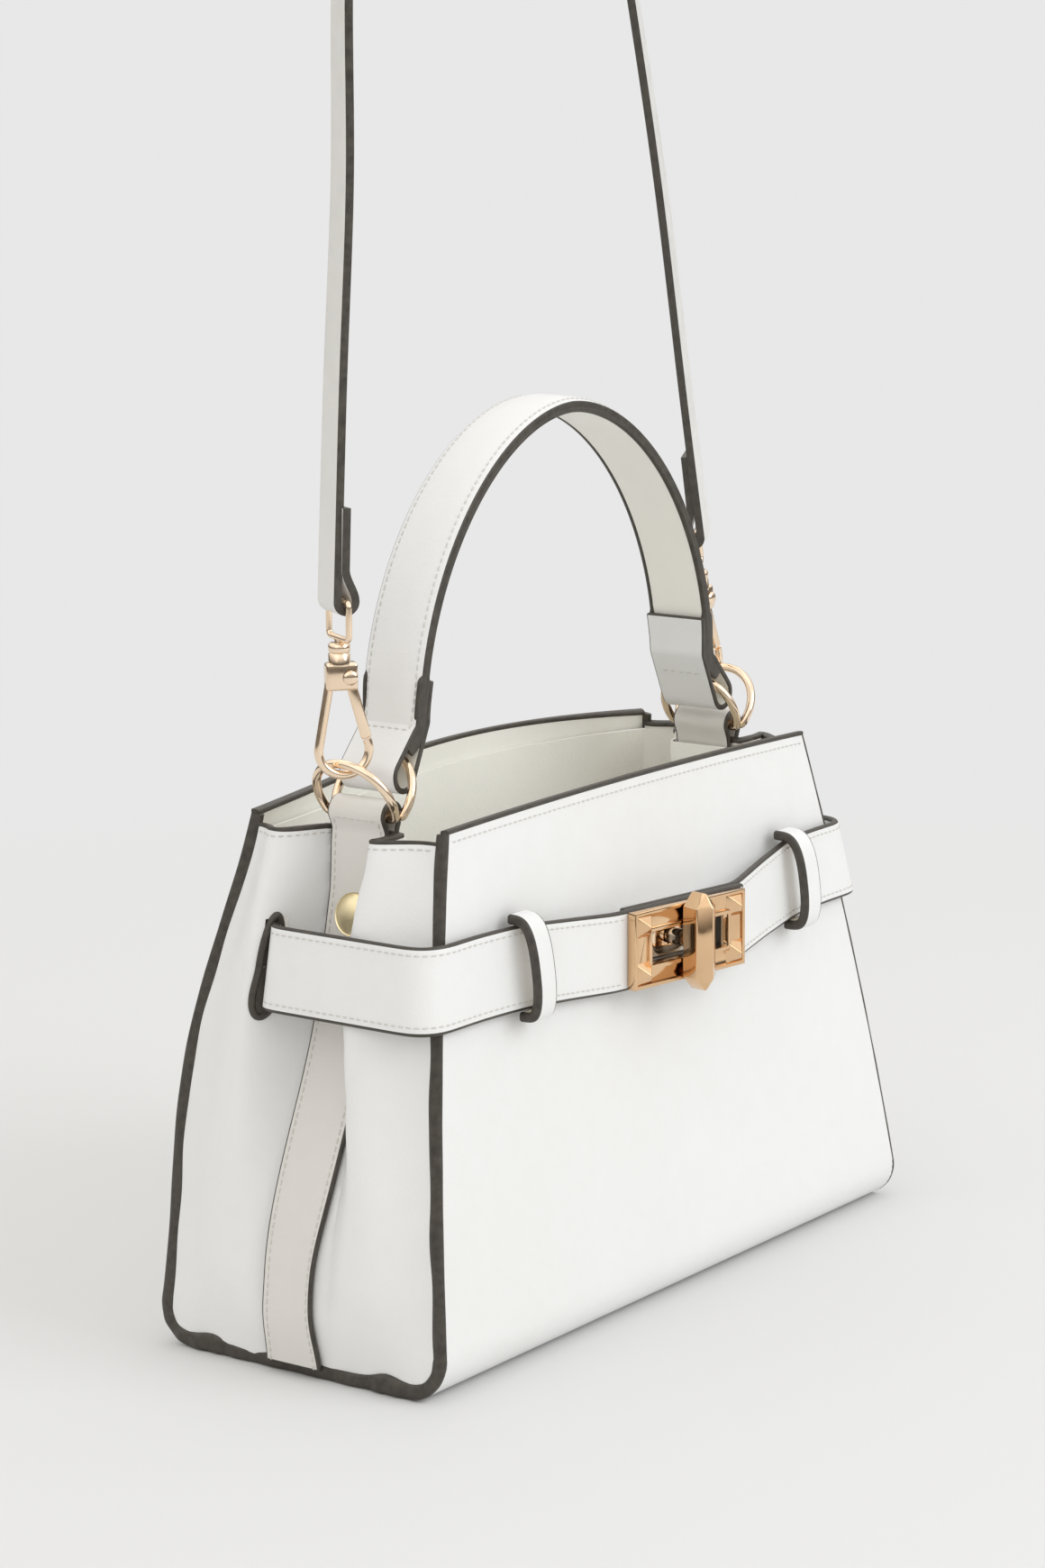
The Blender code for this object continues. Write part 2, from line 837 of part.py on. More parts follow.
def lock_base(frame):
    """A boss on the front panel that traps the spindle's foot, with two prongs through the panel."""
    reach = lock_face_depth - wall_depth(belt_lock_height) + base_radius
    base = cylinder("lock_base", base_radius, -reach, boss_face, frame, rose_gold)
    normal = Vector((0, -math.cos(wall_tilt), math.sin(wall_tilt)))
    seat = Vector((0, -wall_depth(belt_lock_height), belt_lock_height))
    bm = bmesh.new()
    bm.from_mesh(base.data)
    cut = bmesh.ops.bisect_plane(
        bm,
        geom=bm.verts[:] + bm.edges[:] + bm.faces[:],
        plane_co=seat + normal * gap,
        plane_no=normal,
        clear_inner=True,
    )
    rim = [item for item in cut["geom_cut"] if isinstance(item, bmesh.types.BMEdge)]
    bmesh.ops.contextual_create(bm, geom=rim)
    bmesh.ops.recalc_face_normals(bm, faces=bm.faces)
    bm.to_mesh(base.data)
    bm.free()
    foot = spindle_foot_radius + gap
    low = foot_top - spindle_foot_thickness - gap
    boolean(base, cylinder("foot_room", foot, low, foot_top + gap, frame))
    bore = spindle_radius + gap
    boolean(base, cylinder("spindle_bore", bore, low + gap, boss_face + cut_overrun, frame))
    through = panel_thickness + washer_thickness + 2 * gap
    for side in (-1, 1):
        place = prong_matrix(side)
        boolean(base, cylinder("prong", prong_radius, -through, 2 * gap + base_root, place), "UNION")
    return base


def prong_matrix(side):
    """On the front panel's outer face, with Z pointing out."""
    normal = Vector((0, -math.cos(wall_tilt), math.sin(wall_tilt)))
    seat = Vector((side * prong_place, -wall_depth(belt_lock_height), belt_lock_height))
    return axis_matrix(seat, normal, (1, 0, 0))


def lock_spindle(frame):
    foot_low = foot_top - spindle_foot_thickness
    profile = [
        (0, turn_bar_gap - gap),
        (spindle_radius, turn_bar_gap - gap),
        (spindle_radius, foot_top),
        (spindle_foot_radius, foot_top),
        (spindle_foot_radius, foot_low),
        (0, foot_low),
    ]
    return turned("lock_spindle", profile, frame, rose_gold)


def turn_bar(frame):
    """A ridged bar with pointed ends, standing across the plate."""
    half_width = turn_bar_width / 2
    half_length = turn_bar_length / 2
    shoulder = half_length - turn_bar_tip
    bm = bmesh.new()
    for height in (turn_bar_gap, turn_bar_gap + turn_bar_foot):
        for x, y in ((half_width, shoulder), (0, half_length), (-half_width, shoulder)):
            bm.verts.new((x, y, height))
            bm.verts.new((-x, -y, height))
    for end in (-1, 1):
        bm.verts.new((0, end * shoulder, turn_bar_gap + turn_bar_rise))
    bmesh.ops.convex_hull(bm, input=bm.verts)
    bmesh.ops.recalc_face_normals(bm, faces=bm.faces)
    obj = add_object("turn_bar", mesh_from(bm, "turn_bar"), rose_gold)
    obj.matrix_world = frame
    return obj


# D-rings. A ring's frame has X along its bar, Y up its loop and Z across it.
def ring_matrix(side, spot, lean):
    """side is -1 for the left; spot is the bar's half width; a positive lean tips the loop outward."""
    tip = math.radians(lean)
    up = Vector((side * math.sin(tip), 0, math.cos(tip)))
    bar = Vector((0, 1, 0))
    matrix = Matrix((bar, up, bar.cross(up))).transposed().to_4x4()
    matrix.translation = (side * spot, 0, ring_bar_height)
    return matrix


ring_half_bar = tab_width / 2 + ring_side_clearance + ring_wire_radius
ring_radius = (ring_half_bar**2 + ring_reach**2) / (2 * ring_reach)
ring_centre = ring_reach - ring_radius


def d_ring(name, matrix):
    r = ring_corner_radius
    corner_x = math.sqrt((ring_radius - r) ** 2 - (r - ring_centre) ** 2)
    meet = math.degrees(math.atan2(r - ring_centre, corner_x))
    right = arc((corner_x, r), r, -90, meet, ring_corner_steps)
    loop = arc((0, ring_centre), ring_radius, meet, 180 - meet, ring_arc_steps)
    left = arc((-corner_x, r), r, 180 - meet, 270, ring_corner_steps)
    points = [(x, y, 0) for x, y in right[:-1] + loop + left[1:]]
    obj = tube(name, points, ring_wire_radius, rose_gold, cyclic=True)
    obj.matrix_world = matrix
    return obj


# Top handle
handle_half_span = ring_bar_width - handle_spring_inset
handle_spring_height = ring_bar_height + handle_spring_rise
handle_top_height = handle_spring_height + handle_arch_rise
handle_foot_half_span = ring_bar_width - handle_foot_inset
handle_foot_height = ring_bar_height + handle_foot_rise
handle_return_height = ring_bar_height + handle_return_rise


def handle_arch():
    """(x, z) points of the handle's outer face between its springings, from left to right."""
    power = 2 / handle_arch_power
    rise = handle_top_height - handle_spring_height
    points = []
    for step in range(handle_arch_steps + 1):
        angle = math.pi * (1 - step / handle_arch_steps)
        across = math.copysign(abs(math.cos(angle)) ** power, math.cos(angle))
        points.append((handle_half_span * across, handle_spring_height + rise * math.sin(angle) ** power))
    return points


handle_inner_back = handle_outer_thickness + gap + handle_padding_thickness + gap
handle_return_back = handle_inner_back + handle_inner_thickness + gap + handle_outer_thickness


def tangent_angle(point, centre, radius, side):
    """Where a line from a point touches a circle, as an angle round the circle in degrees."""
    dx, dz = point[0] - centre[0], point[1] - centre[1]
    away = math.degrees(math.atan2(dz, dx))
    return away + side * math.degrees(math.acos(radius / math.hypot(dx, dz)))


def handle_outer_line():
    """The outer strap's whole line: left return, fold, leg, arch and the same again on the right."""
    arch = handle_arch()
    centre = (-handle_foot_half_span, handle_foot_height)
    radius = handle_fold_radius + handle_outer_thickness
    back = offset_line(arch, handle_return_back)
    count = handle_return_steps
    returned = [point for point in back[:count] if point[1] < handle_return_height]
    start = tangent_angle(returned[0], centre, radius, -1)
    end = tangent_angle(arch[0], centre, radius, 1)
    fold = arc(centre, radius, start, end - 360, handle_fold_steps)
    left = list(reversed(returned)) + fold
    right = [(-x, z) for x, z in reversed(left)]
    return left + arch + right


def handle_widths(line):
    widths = []
    for _, z in line:
        share = smooth((z - handle_spring_height) / (handle_return_height - handle_spring_height))
        widths.append(lerp(handle_end_width, handle_width, share))
    return widths


def arch_part(distance, end_share):
    """The arch's line, offset, without its two ends."""
    skip = round(end_share * handle_arch_steps)
    line = offset_line(handle_arch(), distance)
    return line[skip : len(line) - skip]


def build_handle():
    line = handle_outer_line()
    widths = handle_widths(line)
    outer = strap("handle_outer_strap", line, widths, handle_outer_thickness, white_leather)
    line = arch_part(handle_outer_thickness + gap, handle_padding_end_share)
    widths = [handle_width - 2 * handle_padding_margin] * len(line)
    padding = strap("handle_padding", line, widths, handle_padding_thickness, foam)
    line = arch_part(handle_inner_back, handle_inner_end_share)
    widths = handle_widths(line)
    inner = strap("handle_inner_strap", line, widths, handle_inner_thickness, white_leather)
    return [outer, padding, inner]


# Snap hooks. A hook's frame has Z up its length, X across it towards the gate, and its origin in the
# middle of the wire at the bottom of the bow.
gate_pivot_place = hook_block_width / 2 - gate_head_radius


def hook_matrix(side, slide, tilt, plane, clearance):
    """Hangs the bow under a strap ring's wire, at an angle round the ring."""
    ring = ring_matrix(side, ring_bar_width + ring_bar_spacing / 2, strap_ring_lean_degrees)
    angle = math.radians(slide)
    spot = Vector((ring_radius * math.sin(angle), ring_centre + ring_radius * math.cos(angle), 0))
    lean = Matrix.Rotation(math.radians(tilt), 4, "Y") @ Matrix.Rotation(math.radians(plane), 4, "Z")
    drop = ring_wire_radius + hook_wire_radius + clearance
    place = Matrix.Translation(ring @ spot) @ lean
    return place @ Matrix.Translation((0, 0, -drop))


def hook_body(name, frame):
    nose = hook_nose_degrees
    bow = arc((hook_bow_offset, hook_bow_radius), hook_bow_radius, 180, 360 + nose, hook_bow_steps)
    line = [(-hook_neck_half_width, hook_neck_height)] + bow
    wire = tube("hook_wire", [(x, 0, z) for x, z in line], hook_wire_radius, None)
    wire.matrix_world = frame
    wire = as_mesh(wire)
    middle = Matrix.Translation((0, 0, (hook_block_low + hook_block_high) / 2))
    size = (hook_block_width, hook_block_thickness, hook_block_high - hook_block_low)
    body = block(name, size, frame @ middle, rose_gold)
    bevel = body.modifiers.new("edges", "BEVEL")
    bevel.width = hook_block_bevel
    bevel.segments = 1
    boolean(body, wire, "UNION")
    top = hook_block_high + barrel_height
    root = hook_block_high - hook_block_bevel - barrel_root
    boolean(body, cylinder("barrel", barrel_radius, root, top, frame), "UNION")
    bore = eye_shank_radius + barrel_bore_clearance
    depth = eye_shank_insertion + gap
    boolean(body, cylinder("eye_bore", bore, top - depth, top + cut_overrun, frame))
    slot_low = hook_block_low - cut_overrun
    slot_right = hook_block_width / 2 + cut_overrun
    slot_left = gate_pivot_place - gate_slot_left
    place = Matrix.Translation(((slot_left + slot_right) / 2, 0, (slot_low + gate_slot_high) / 2))
    size = (slot_right - slot_left, gate_slot_width, gate_slot_high - slot_low)
    boolean(body, block("gate_slot", size, frame @ place))
    half = hook_block_thickness / 2 + cut_overrun
    rivet_hole = rivet_radius + gate_hole_clearance
    boolean(body, cylinder("rivet_hole", rivet_hole, -half, half, pivot_matrix(frame)))
    return body


def pivot_matrix(frame):
    """On the gate's pivot, with Z along the rivet."""
    place = Matrix.Translation((gate_pivot_place, 0, gate_pivot_height))
    return frame @ place @ Matrix.Rotation(-math.pi / 2, 4, "X")


def hook_gate(name, frame):
    nose = math.radians(hook_nose_degrees)
    tip_x = hook_bow_offset + hook_bow_radius * math.cos(nose) - gate_nose_clearance * math.sin(nose)
    tip_z = hook_bow_radius + hook_bow_radius * math.sin(nose) + gate_nose_clearance * math.cos(nose)
    along = Vector((gate_pivot_place - tip_x, 0, gate_pivot_height - tip_z))
    bar_frame = axis_matrix((tip_x, 0, tip_z), along, (1, 0, 0))
    length = along.length
    place = frame @ bar_frame @ Matrix.Translation((0, 0, length / 2))
    gate = block(name, (gate_width, gate_thickness, length), place, rose_gold)
    half = gate_thickness / 2
    pivot = pivot_matrix(frame)
    boolean(gate, cylinder("gate_head", gate_head_radius, -half, half, pivot), "UNION")
    hole = rivet_radius + gate_hole_clearance
    boolean(gate, cylinder("gate_hole", hole, -half - cut_overrun, half + cut_overrun, pivot))
    return gate


def gate_rivet(name, frame):
    """One solid with a head at each side of the block."""
    half = hook_block_thickness / 2 + gap
    profile = [
        (0, half + rivet_head_thickness),
        (rivet_head_radius, half + rivet_head_thickness),
        (rivet_head_radius, half),
        (rivet_radius, half),
        (rivet_radius, -half),
        (rivet_head_radius, -half),
        (rivet_head_radius, -half - rivet_head_thickness),
        (0, -half - rivet_head_thickness),
    ]
    return turned(name, profile, pivot_matrix(frame), rose_gold, small_round_steps)


barrel_top = hook_block_high + barrel_height
eye_low = barrel_top + eye_barrel_gap + eye_wire_radius
eye_high = eye_low + eye_inner_height + 2 * eye_wire_radius


def strap_eye(name, frame):
    """A rounded wire loop with a shank that turns in the hook's barrel."""
    half = eye_inner_width / 2 + eye_wire_radius
    r = eye_corner_radius
    line = arc((half - r, eye_low + r), r, -90, 0, eye_corner_steps)
    line += arc((half - r, eye_high - r), r, 0, 90, eye_corner_steps)
    line += [(-x, z) for x, z in reversed(line)]
    wire = tube("eye_wire", [(x, 0, z) for x, z in line], eye_wire_radius, None, cyclic=True)
    wire.matrix_world = frame
    wire = as_mesh(wire)
    low = barrel_top - eye_shank_insertion
    eye = cylinder(name, eye_shank_radius, low, eye_low, frame, rose_gold, small_round_steps)
    boolean(eye, wire, "UNION")
    return eye


# Shoulder strap
def smooth_route(points, steps):
    """Points along a smooth curve through the route's own points, by Catmull and Rom's rule."""
    line = []
    last = len(points) - 1
    for step in range(steps + 1):
        spot = step / steps * last
        i = min(int(spot), last - 1)
        t = spot - i
        p0, p1 = points[max(i - 1, 0)], points[i]
        p2, p3 = points[i + 1], points[min(i + 2, last)]
        line.append(
            0.5 * (2 * p1 + (p2 - p0) * t + (2 * p0 - 5 * p1 + 4 * p2 - p3) * t**2
            + (3 * p1 - p0 - 3 * p2 + p3) * t**3)
        )
    return line


def eye_frame(hook, twist):
    """The eye stands on the hook's axis, its X along the strap's width."""
    turn = math.radians(twist)
    across = Vector((math.sin(turn), math.cos(turn), 0))
    return axis_matrix(hook.translation, hook.col[2].to_3d(), across)


def strap_end(eye, inward):
    """Points round an eye's upper wire, from the returned end to the strap proper, in the eye's Y and Z."""
    centre = eye_high
    radius = eye_wire_radius + strap_fold_clearance + strap_thickness / 2
    turn = arc((0, centre), radius, 0, -180, strap_fold_steps)
    lift = [(radius, centre + strap_return_length * (1 - step / strap_return_steps))
            for step in range(strap_return_steps)]
    return [eye @ Vector((0, inward * y, z)) for y, z in lift + turn]


def shoulder_strap(left_eye, right_eye):
    start = strap_end(left_eye, -1)
    end = list(reversed(strap_end(right_eye, 1)))
    first, last = start[-1], end[0]
    route = []
    for across, up in strap_route_shares:
        point = first.lerp(last, across)
        point.z += strap_rise * up
        route.append(point)
    line = start + smooth_route(route, strap_steps)[1:-1] + end
    centres = []
    for i, point in enumerate(line):
        share = smooth((i - len(start)) / (len(line) - len(start) - len(end)))
        across = left_eye.col[0].to_3d().lerp(right_eye.col[0].to_3d(), share)
        along = (line[min(i + 1, len(line) - 1)] - line[max(i - 1, 0)]).normalized()
        centres.append((point, (across - along * across.dot(along)).normalized()))
    widths = [strap_width] * len(line)
    return ribbon("shoulder_strap", centres, widths, strap_thickness, white_leather)


# The whole bag
def pivot(name, point, parts):
    """An empty on a joint's axis that carries the parts that move about it."""
    empty = bpy.data.objects.new(name, None)
    bag.objects.link(empty)
    empty.location = point
    for part in parts:
        part.parent = empty
        part.matrix_parent_inverse = Matrix.Translation(point).inverted()


def build_body():
    front = panel("front_panel", -1, front_top_half_width, 0, 0, -base_seam_depth)
    panel("back_panel", 1, back_top_half_width, back_swell, back_bow, base_seam_depth + gap)
    low = panel_thickness + gap + board_thickness / 2
    size = (2 * (base_half_width - board_side_inset), 2 * (fold_centre_depth - gap), board_thickness)
    block("base_board", size, Matrix.Translation((0, 0, low)), stiffener)
    lining()
    return front


def build_sides():
    gusset = left_gusset()
    tab = strap("left_side_tab", tab_line(), [tab_width] * len(tab_line()), tab_thickness, white_leather)
    sheets = {"left": (gusset, tab)}
    sheets["right"] = (mirrored(gusset, "right_gusset"), mirrored(tab, "right_side_tab"))
    for side, name in ((-1, "left"), (1, "right")):
        gusset, tab = sheets[name]
        frame = stud_matrix(side)
        stack = 2 * tab_thickness + gusset_thickness + 2 * gap
        hole = stud_shank_radius + stud_hole_clearance
        cut = cylinder(name + "_stud_hole", hole, -stack - cut_overrun, cut_overrun, frame)
        boolean(gusset, belt_slot(side))
        boolean(gusset, cut)
        boolean(tab, cut)
        profile = [
            (0, gap + stud_cap_rise),
            (stud_cap_radius * stud_crown_share, gap + stud_cap_rise - stud_rim / 2),
            (stud_cap_radius, gap + stud_rim),
            (stud_cap_radius, gap),
            (stud_shank_radius, gap),
            (stud_shank_radius, -stack),
            (0, -stack),
        ]
        turned(name + "_press_stud", profile, frame, yellow_gold)
        low = -stack - gap - stud_back_thickness
        cylinder(name + "_stud_back", stud_back_radius, low, -stack - gap, frame, yellow_gold)


def build_belt(front):
    frame = lock_matrix()
    room = (
        plate_slot_width + 2 * belt_hole_margin,
        plate_slot_height + 2 * belt_hole_margin,
        -boss_face - left_belt_back + cut_overrun,
    )
    place = frame @ Matrix.Translation((0, 0, (boss_face - left_belt_back) / 2))
    hole = block("belt_hole", room, place)
    left = belt_strap("left_belt_strap", -1, left_belt_end, left_belt_back)
    right = belt_strap("right_belt_strap", 1, -right_belt_end, right_belt_back)
    boolean(left, hole)
    boolean(right, hole)
    keeper("left_keeper", -1)
    keeper("right_keeper", 1)
    lock_plate(frame)
    lock_base(frame)
    low = -panel_thickness - gap - washer_thickness
    washer = cylinder("lock_washer", washer_radius, low, low + washer_thickness, prong_matrix(0), rose_gold)
    for side in (-1, 1):
        bore = prong_radius + gap
        place = prong_matrix(side)
        hole = cylinder("prong_hole", bore, low - cut_overrun, cut_overrun, place, steps=hole_round_steps)
        boolean(front, hole)
        boolean(washer, hole)
    lock_spindle(frame)
    turn_bar(frame)


def build_rings_and_handle():
    half = ring_bar_spacing / 2
    for side, name in ((-1, "left"), (1, "right")):
        out = ring_matrix(side, ring_bar_width + half, strap_ring_lean_degrees)
        d_ring(name + "_strap_ring", out)
        inward = ring_matrix(side, ring_bar_width - half, -handle_ring_lean_degrees)
        d_ring(name + "_handle_ring", inward)
    pivot("handle_hinge", (0, 0, handle_hinge_height), build_handle())


def build_strap():
    left = hook_matrix(
        -1, left_hook_slide_degrees, left_hook_tilt_degrees, left_hook_plane_degrees, left_hook_ring_gap
    )
    right = hook_matrix(
        1, right_hook_slide_degrees, right_hook_tilt_degrees, right_hook_plane_degrees, right_hook_ring_gap
    )
    left_eye = eye_frame(left, strap_left_twist_degrees)
    right_eye = eye_frame(right, strap_right_twist_degrees)
    strap_parts = [
        shoulder_strap(left_eye, right_eye),
        strap_eye("left_strap_eye", left_eye),
        strap_eye("right_strap_eye", right_eye),
    ]
    pivot("strap_hinge", (0, 0, strap_hinge_height), strap_parts)
    for name, frame in (("left", left), ("right", right)):
        body = [hook_body(name + "_hook", frame), gate_rivet(name + "_gate_rivet", frame)]
        pivot(name + "_hook_swivel", frame.translation, body)
        gate_axis = pivot_matrix(frame).translation
        pivot(name + "_gate_hinge", gate_axis, [hook_gate(name + "_gate", frame)])


handle_hinge_height = ring_bar_height + ring_centre * math.cos(math.radians(handle_ring_lean_degrees))
strap_hinge_height = ring_bar_height + ring_centre * math.cos(math.radians(strap_ring_lean_degrees))

front_panel = build_body()
build_sides()
build_belt(front_panel)
build_rings_and_handle()
build_strap()
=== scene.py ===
"""A white belted mini bag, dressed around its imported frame."""

import math

import bpy
from mathutils import Matrix, Vector


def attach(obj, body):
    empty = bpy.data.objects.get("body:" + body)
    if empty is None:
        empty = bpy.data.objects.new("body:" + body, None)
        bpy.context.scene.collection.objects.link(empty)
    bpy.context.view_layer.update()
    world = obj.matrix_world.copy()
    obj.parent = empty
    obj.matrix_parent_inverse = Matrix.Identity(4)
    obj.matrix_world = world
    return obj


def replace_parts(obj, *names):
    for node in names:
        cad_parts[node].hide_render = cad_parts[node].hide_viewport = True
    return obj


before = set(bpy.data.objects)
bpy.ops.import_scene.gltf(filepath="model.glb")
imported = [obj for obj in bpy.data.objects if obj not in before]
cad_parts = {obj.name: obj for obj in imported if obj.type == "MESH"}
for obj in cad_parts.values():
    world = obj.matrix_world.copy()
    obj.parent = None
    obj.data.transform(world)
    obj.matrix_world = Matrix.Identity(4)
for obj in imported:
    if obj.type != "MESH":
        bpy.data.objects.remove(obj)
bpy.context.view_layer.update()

# The camera stands low in front of the bag's left corner, with a long lens, as for a catalogue.
# Its place and lens were found from the bag's corners in the photograph.
camera_place = (-0.9886, -0.7009, 0.3863)
camera_azimuth = -54.33
camera_elevation = 11.04
camera_roll = -0.31
camera_lens = 94.70
bpy.ops.object.select_all(action="DESELECT")
bpy.ops.object.camera_add(location=camera_place)
camera = bpy.context.object
camera.data.lens = camera_lens
camera.data.sensor_width = 36
camera.data.clip_start = 0.05
turn = Matrix.Rotation(math.radians(camera_azimuth), 4, "Z")
tilt = Matrix.Rotation(math.radians(90 - camera_elevation), 4, "X")
roll = Matrix.Rotation(math.radians(camera_roll), 4, "Z")
camera.matrix_world = Matrix.Translation(camera_place) @ turn @ tilt @ roll
bpy.context.scene.camera = camera


# Every finish is a node material. A Value is a socket that can be used in sums. Nodes makes the nodes of one
# tree: its node method takes a type, its settings, and the values or links of its sockets.
class Value:
    def __init__(self, nodes, socket):
        self.nodes = nodes
        self.socket = socket

    def sum(self, operation, first, second):
        return self.nodes.node("ShaderNodeMath", {"operation": operation}, {0: first, 1: second})

    def __add__(self, other):
        return self.sum("ADD", self, other)

    def __radd__(self, other):
        return self.sum("ADD", other, self)

    def __sub__(self, other):
        return self.sum("SUBTRACT", self, other)

    def __rsub__(self, other):
        return self.sum("SUBTRACT", other, self)

    def __mul__(self, other):
        return self.sum("MULTIPLY", self, other)

    def __rmul__(self, other):
        return self.sum("MULTIPLY", other, self)


class Nodes:
    def __init__(self, tree):
        self.tree = tree

    def node(self, kind, settings=None, sockets=None, output=0):
        node = self.tree.nodes.new(kind)
        for key, value in (settings or {}).items():
            setattr(node, key, value)
        for key, value in (sockets or {}).items():
            self.feed(node.inputs[key], value)
        return Value(self, node.outputs[output])

    def feed(self, socket, value):
        if isinstance(value, Value):
            self.tree.links.new(value.socket, socket)
        else:
            socket.default_value = value

    def mix(self, factor, first, second):
        settings = {"data_type": "RGBA"}
        return self.node("ShaderNodeMix", settings, {0: factor, 6: (*first, 1), 7: (*second, 1)}, 2)

    def span(self, value, low, high, to_low=0.0, to_high=1.0):
        sockets = {0: value, 1: low, 2: high, 3: to_low, 4: to_high}
        return self.node("ShaderNodeMapRange", None, sockets)


class Finish(Nodes):
    def __init__(self, name, roughness=0.5, metallic=0.0):
        self.material = bpy.data.materials.new(name)
        self.material.use_nodes = True
        super().__init__(self.material.node_tree)
        self.surface = self.tree.nodes["Principled BSDF"]
        self.surface.inputs["Roughness"].default_value = roughness
        self.surface.inputs["Metallic"].default_value = metallic
        self.place = self.node("ShaderNodeTexCoord", output="Object")

    def noise(self, scale, detail=2.0):
        sockets = {"Vector": self.place, "Scale": scale, "Detail": detail}
        return self.node("ShaderNodeTexNoise", None, sockets, "Fac")

    def cells(self, scale):
        sockets = {"Vector": self.place, "Scale": scale}
        return self.node("ShaderNodeTexVoronoi", {"feature": "SMOOTH_F1"}, sockets)

    def bump(self, height, distance, strength=1.0, normal=None):
        sockets = {"Height": height, "Distance": distance, "Strength": strength}
        if normal:
            sockets["Normal"] = normal
        return self.node("ShaderNodeBump", None, sockets)

    def wear(self, **sockets):
        for key, value in sockets.items():
            self.feed(self.surface.inputs[key.replace("_", " ").title()], value)


# The studio: a pale floor that keeps the bag's contact shadow and fades into an even backdrop, a large
# soft key from the front right, a weaker fill from the left and a top light.
backdrop = (0.805, 0.805, 0.805, 1)
floor_grey = (0.765, 0.765, 0.765, 1)
horizon_colour = (0.65, 0.61, 0.55)
zenith_colour = (0.95, 0.945, 0.925)
mirror_low = (0.15, 0.135, 0.12)
mirror_high = (1.18, 1.16, 1.13)
key_power = 8.6
fill_power = 1.0
top_power = 1.6
bpy.context.scene.view_settings.view_transform = "Standard"
world = bpy.data.worlds.new("studio")
bpy.context.scene.world = world
world.use_nodes = True
studio = Nodes(world.node_tree)
heading = studio.node("ShaderNodeTexCoord", output="Generated")
height = studio.node("ShaderNodeSeparateXYZ", None, {0: heading}, "Z")
sky = studio.mix(studio.span(height, -0.35, 0.75), horizon_colour, zenith_colour)
mirrored = studio.mix(studio.span(height, 0.02, 0.45), mirror_low, mirror_high)
skies = [studio.node("ShaderNodeBackground", None, {"Color": colour}) for colour in (sky, mirrored, backdrop)]
glossy = studio.node("ShaderNodeLightPath", output="Is Glossy Ray")
direct = studio.node("ShaderNodeLightPath", output="Is Camera Ray")
lit = studio.node("ShaderNodeMixShader", None, {0: glossy, 1: skies[0], 2: skies[1]})
shown = studio.node("ShaderNodeMixShader", None, {0: direct, 1: lit, 2: skies[2]})
studio.feed(studio.tree.nodes["World Output"].inputs["Surface"], shown)


def fresh(name, add, **settings):
    """A new object from one of Blender's own operators, alone in the selection."""
    bpy.ops.object.select_all(action="DESELECT")
    add(**settings)
    obj = bpy.context.object
    obj.name = name
    return obj


disc = {"vertices": 96, "radius": 3.0, "fill_type": "NGON", "location": (0, 0, -0.0002)}
floor = fresh("studio_floor", bpy.ops.mesh.primitive_circle_add, **disc)
ground = Finish("pale_floor", 0.9)
ground.wear(base_color=floor_grey)
ground.surface.inputs["Specular IOR Level"].default_value = 0.0
distance = ground.node("ShaderNodeVectorMath", {"operation": "LENGTH"}, {0: ground.place}, "Value")
seen = ground.node("ShaderNodeLightPath", output="Is Camera Ray")
glow = ground.node("ShaderNodeEmission", None, {"Color": backdrop})
lit = Value(ground, ground.surface.outputs[0])
fade = ground.span(distance, 0.30, 0.75) * seen
shown = ground.node("ShaderNodeMixShader", None, {0: fade, 1: lit, 2: glow})
ground.feed(ground.tree.nodes["Material Output"].inputs["Surface"], shown)
floor.data.materials.append(ground.material)


def softbox(name, place, size, power, colour):
    bpy.ops.object.light_add(type="AREA", location=place)
    lamp = bpy.context.object
    lamp.name = name
    lamp.data.shape = "DISK"
    lamp.data.size = size
    lamp.data.energy = power
    lamp.data.color = colour
    lamp.rotation_euler = Vector(place).to_track_quat("Z", "Y").to_euler()


softbox("key", (0.35, -1.45, 1.05), 1.2, key_power, (0.93, 0.965, 1.0))
softbox("fill", (-1.5, -0.2, 0.9), 1.2, fill_power, (1.0, 0.96, 0.90))
softbox("top", (0.1, 0.3, 1.6), 1.4, top_power, (1.0, 1.0, 1.0))


# Front and back panel: doubled white leather, sewn edge to edge under the base. Each is cut as one
# sheet that turns under at a soft fold, and all its cut edges are sealed with dark edge paint.
body_height = 0.155
front_top_half_width = 0.093
back_top_half_width = 0.099
base_half_width = 0.1225
top_half_depth = 0.0324
base_half_depth = 0.0526
side_swell = 0.0032
back_swell = 0.006
back_bow = 0.016
back_bow_skew = 0.6
top_edge_rise = 0.0015
panel_ripple = 0.0007
top_seam = 0.984
base_fold_radius = 0.012
panel_thickness = 0.0022
base_seam_depth = 0.010
sheet_gap = 0.0003
wall_tilt = math.atan2(base_half_depth - top_half_depth, body_height)
fold_top = base_fold_radius * (1 + math.sin(wall_tilt))
fold_centre_depth = base_half_depth - base_fold_radius / math.tan((math.pi / 2 - wall_tilt) / 2)


def leather(name, colour, shade, roughness=0.42, grain=1.0):
    """Smooth grained leather: fine pebble, broad soft unevenness and a faint warm mottling."""
    skin = Finish(name, roughness)
    cloud = skin.noise(9, 3)
    fine = skin.noise(160, 4)
    tone = skin.span(cloud * 0.7 + fine * 0.3, 0.32, 0.68)
    pebble = skin.cells(1150)
    pores = skin.noise(2600, 2)
    undulation = skin.bump(skin.noise(26, 2), 0.0009, 0.5)
    grained = skin.bump(pebble * 0.7 + pores * 0.3, 0.00012 * grain, 0.45, undulation)
    skin.wear(
        base_color=skin.mix(tone, shade, colour),
        roughness=skin.span(fine, 0.3, 0.7, roughness - 0.06, roughness + 0.08),
        normal=grained,
    )
    return skin.material


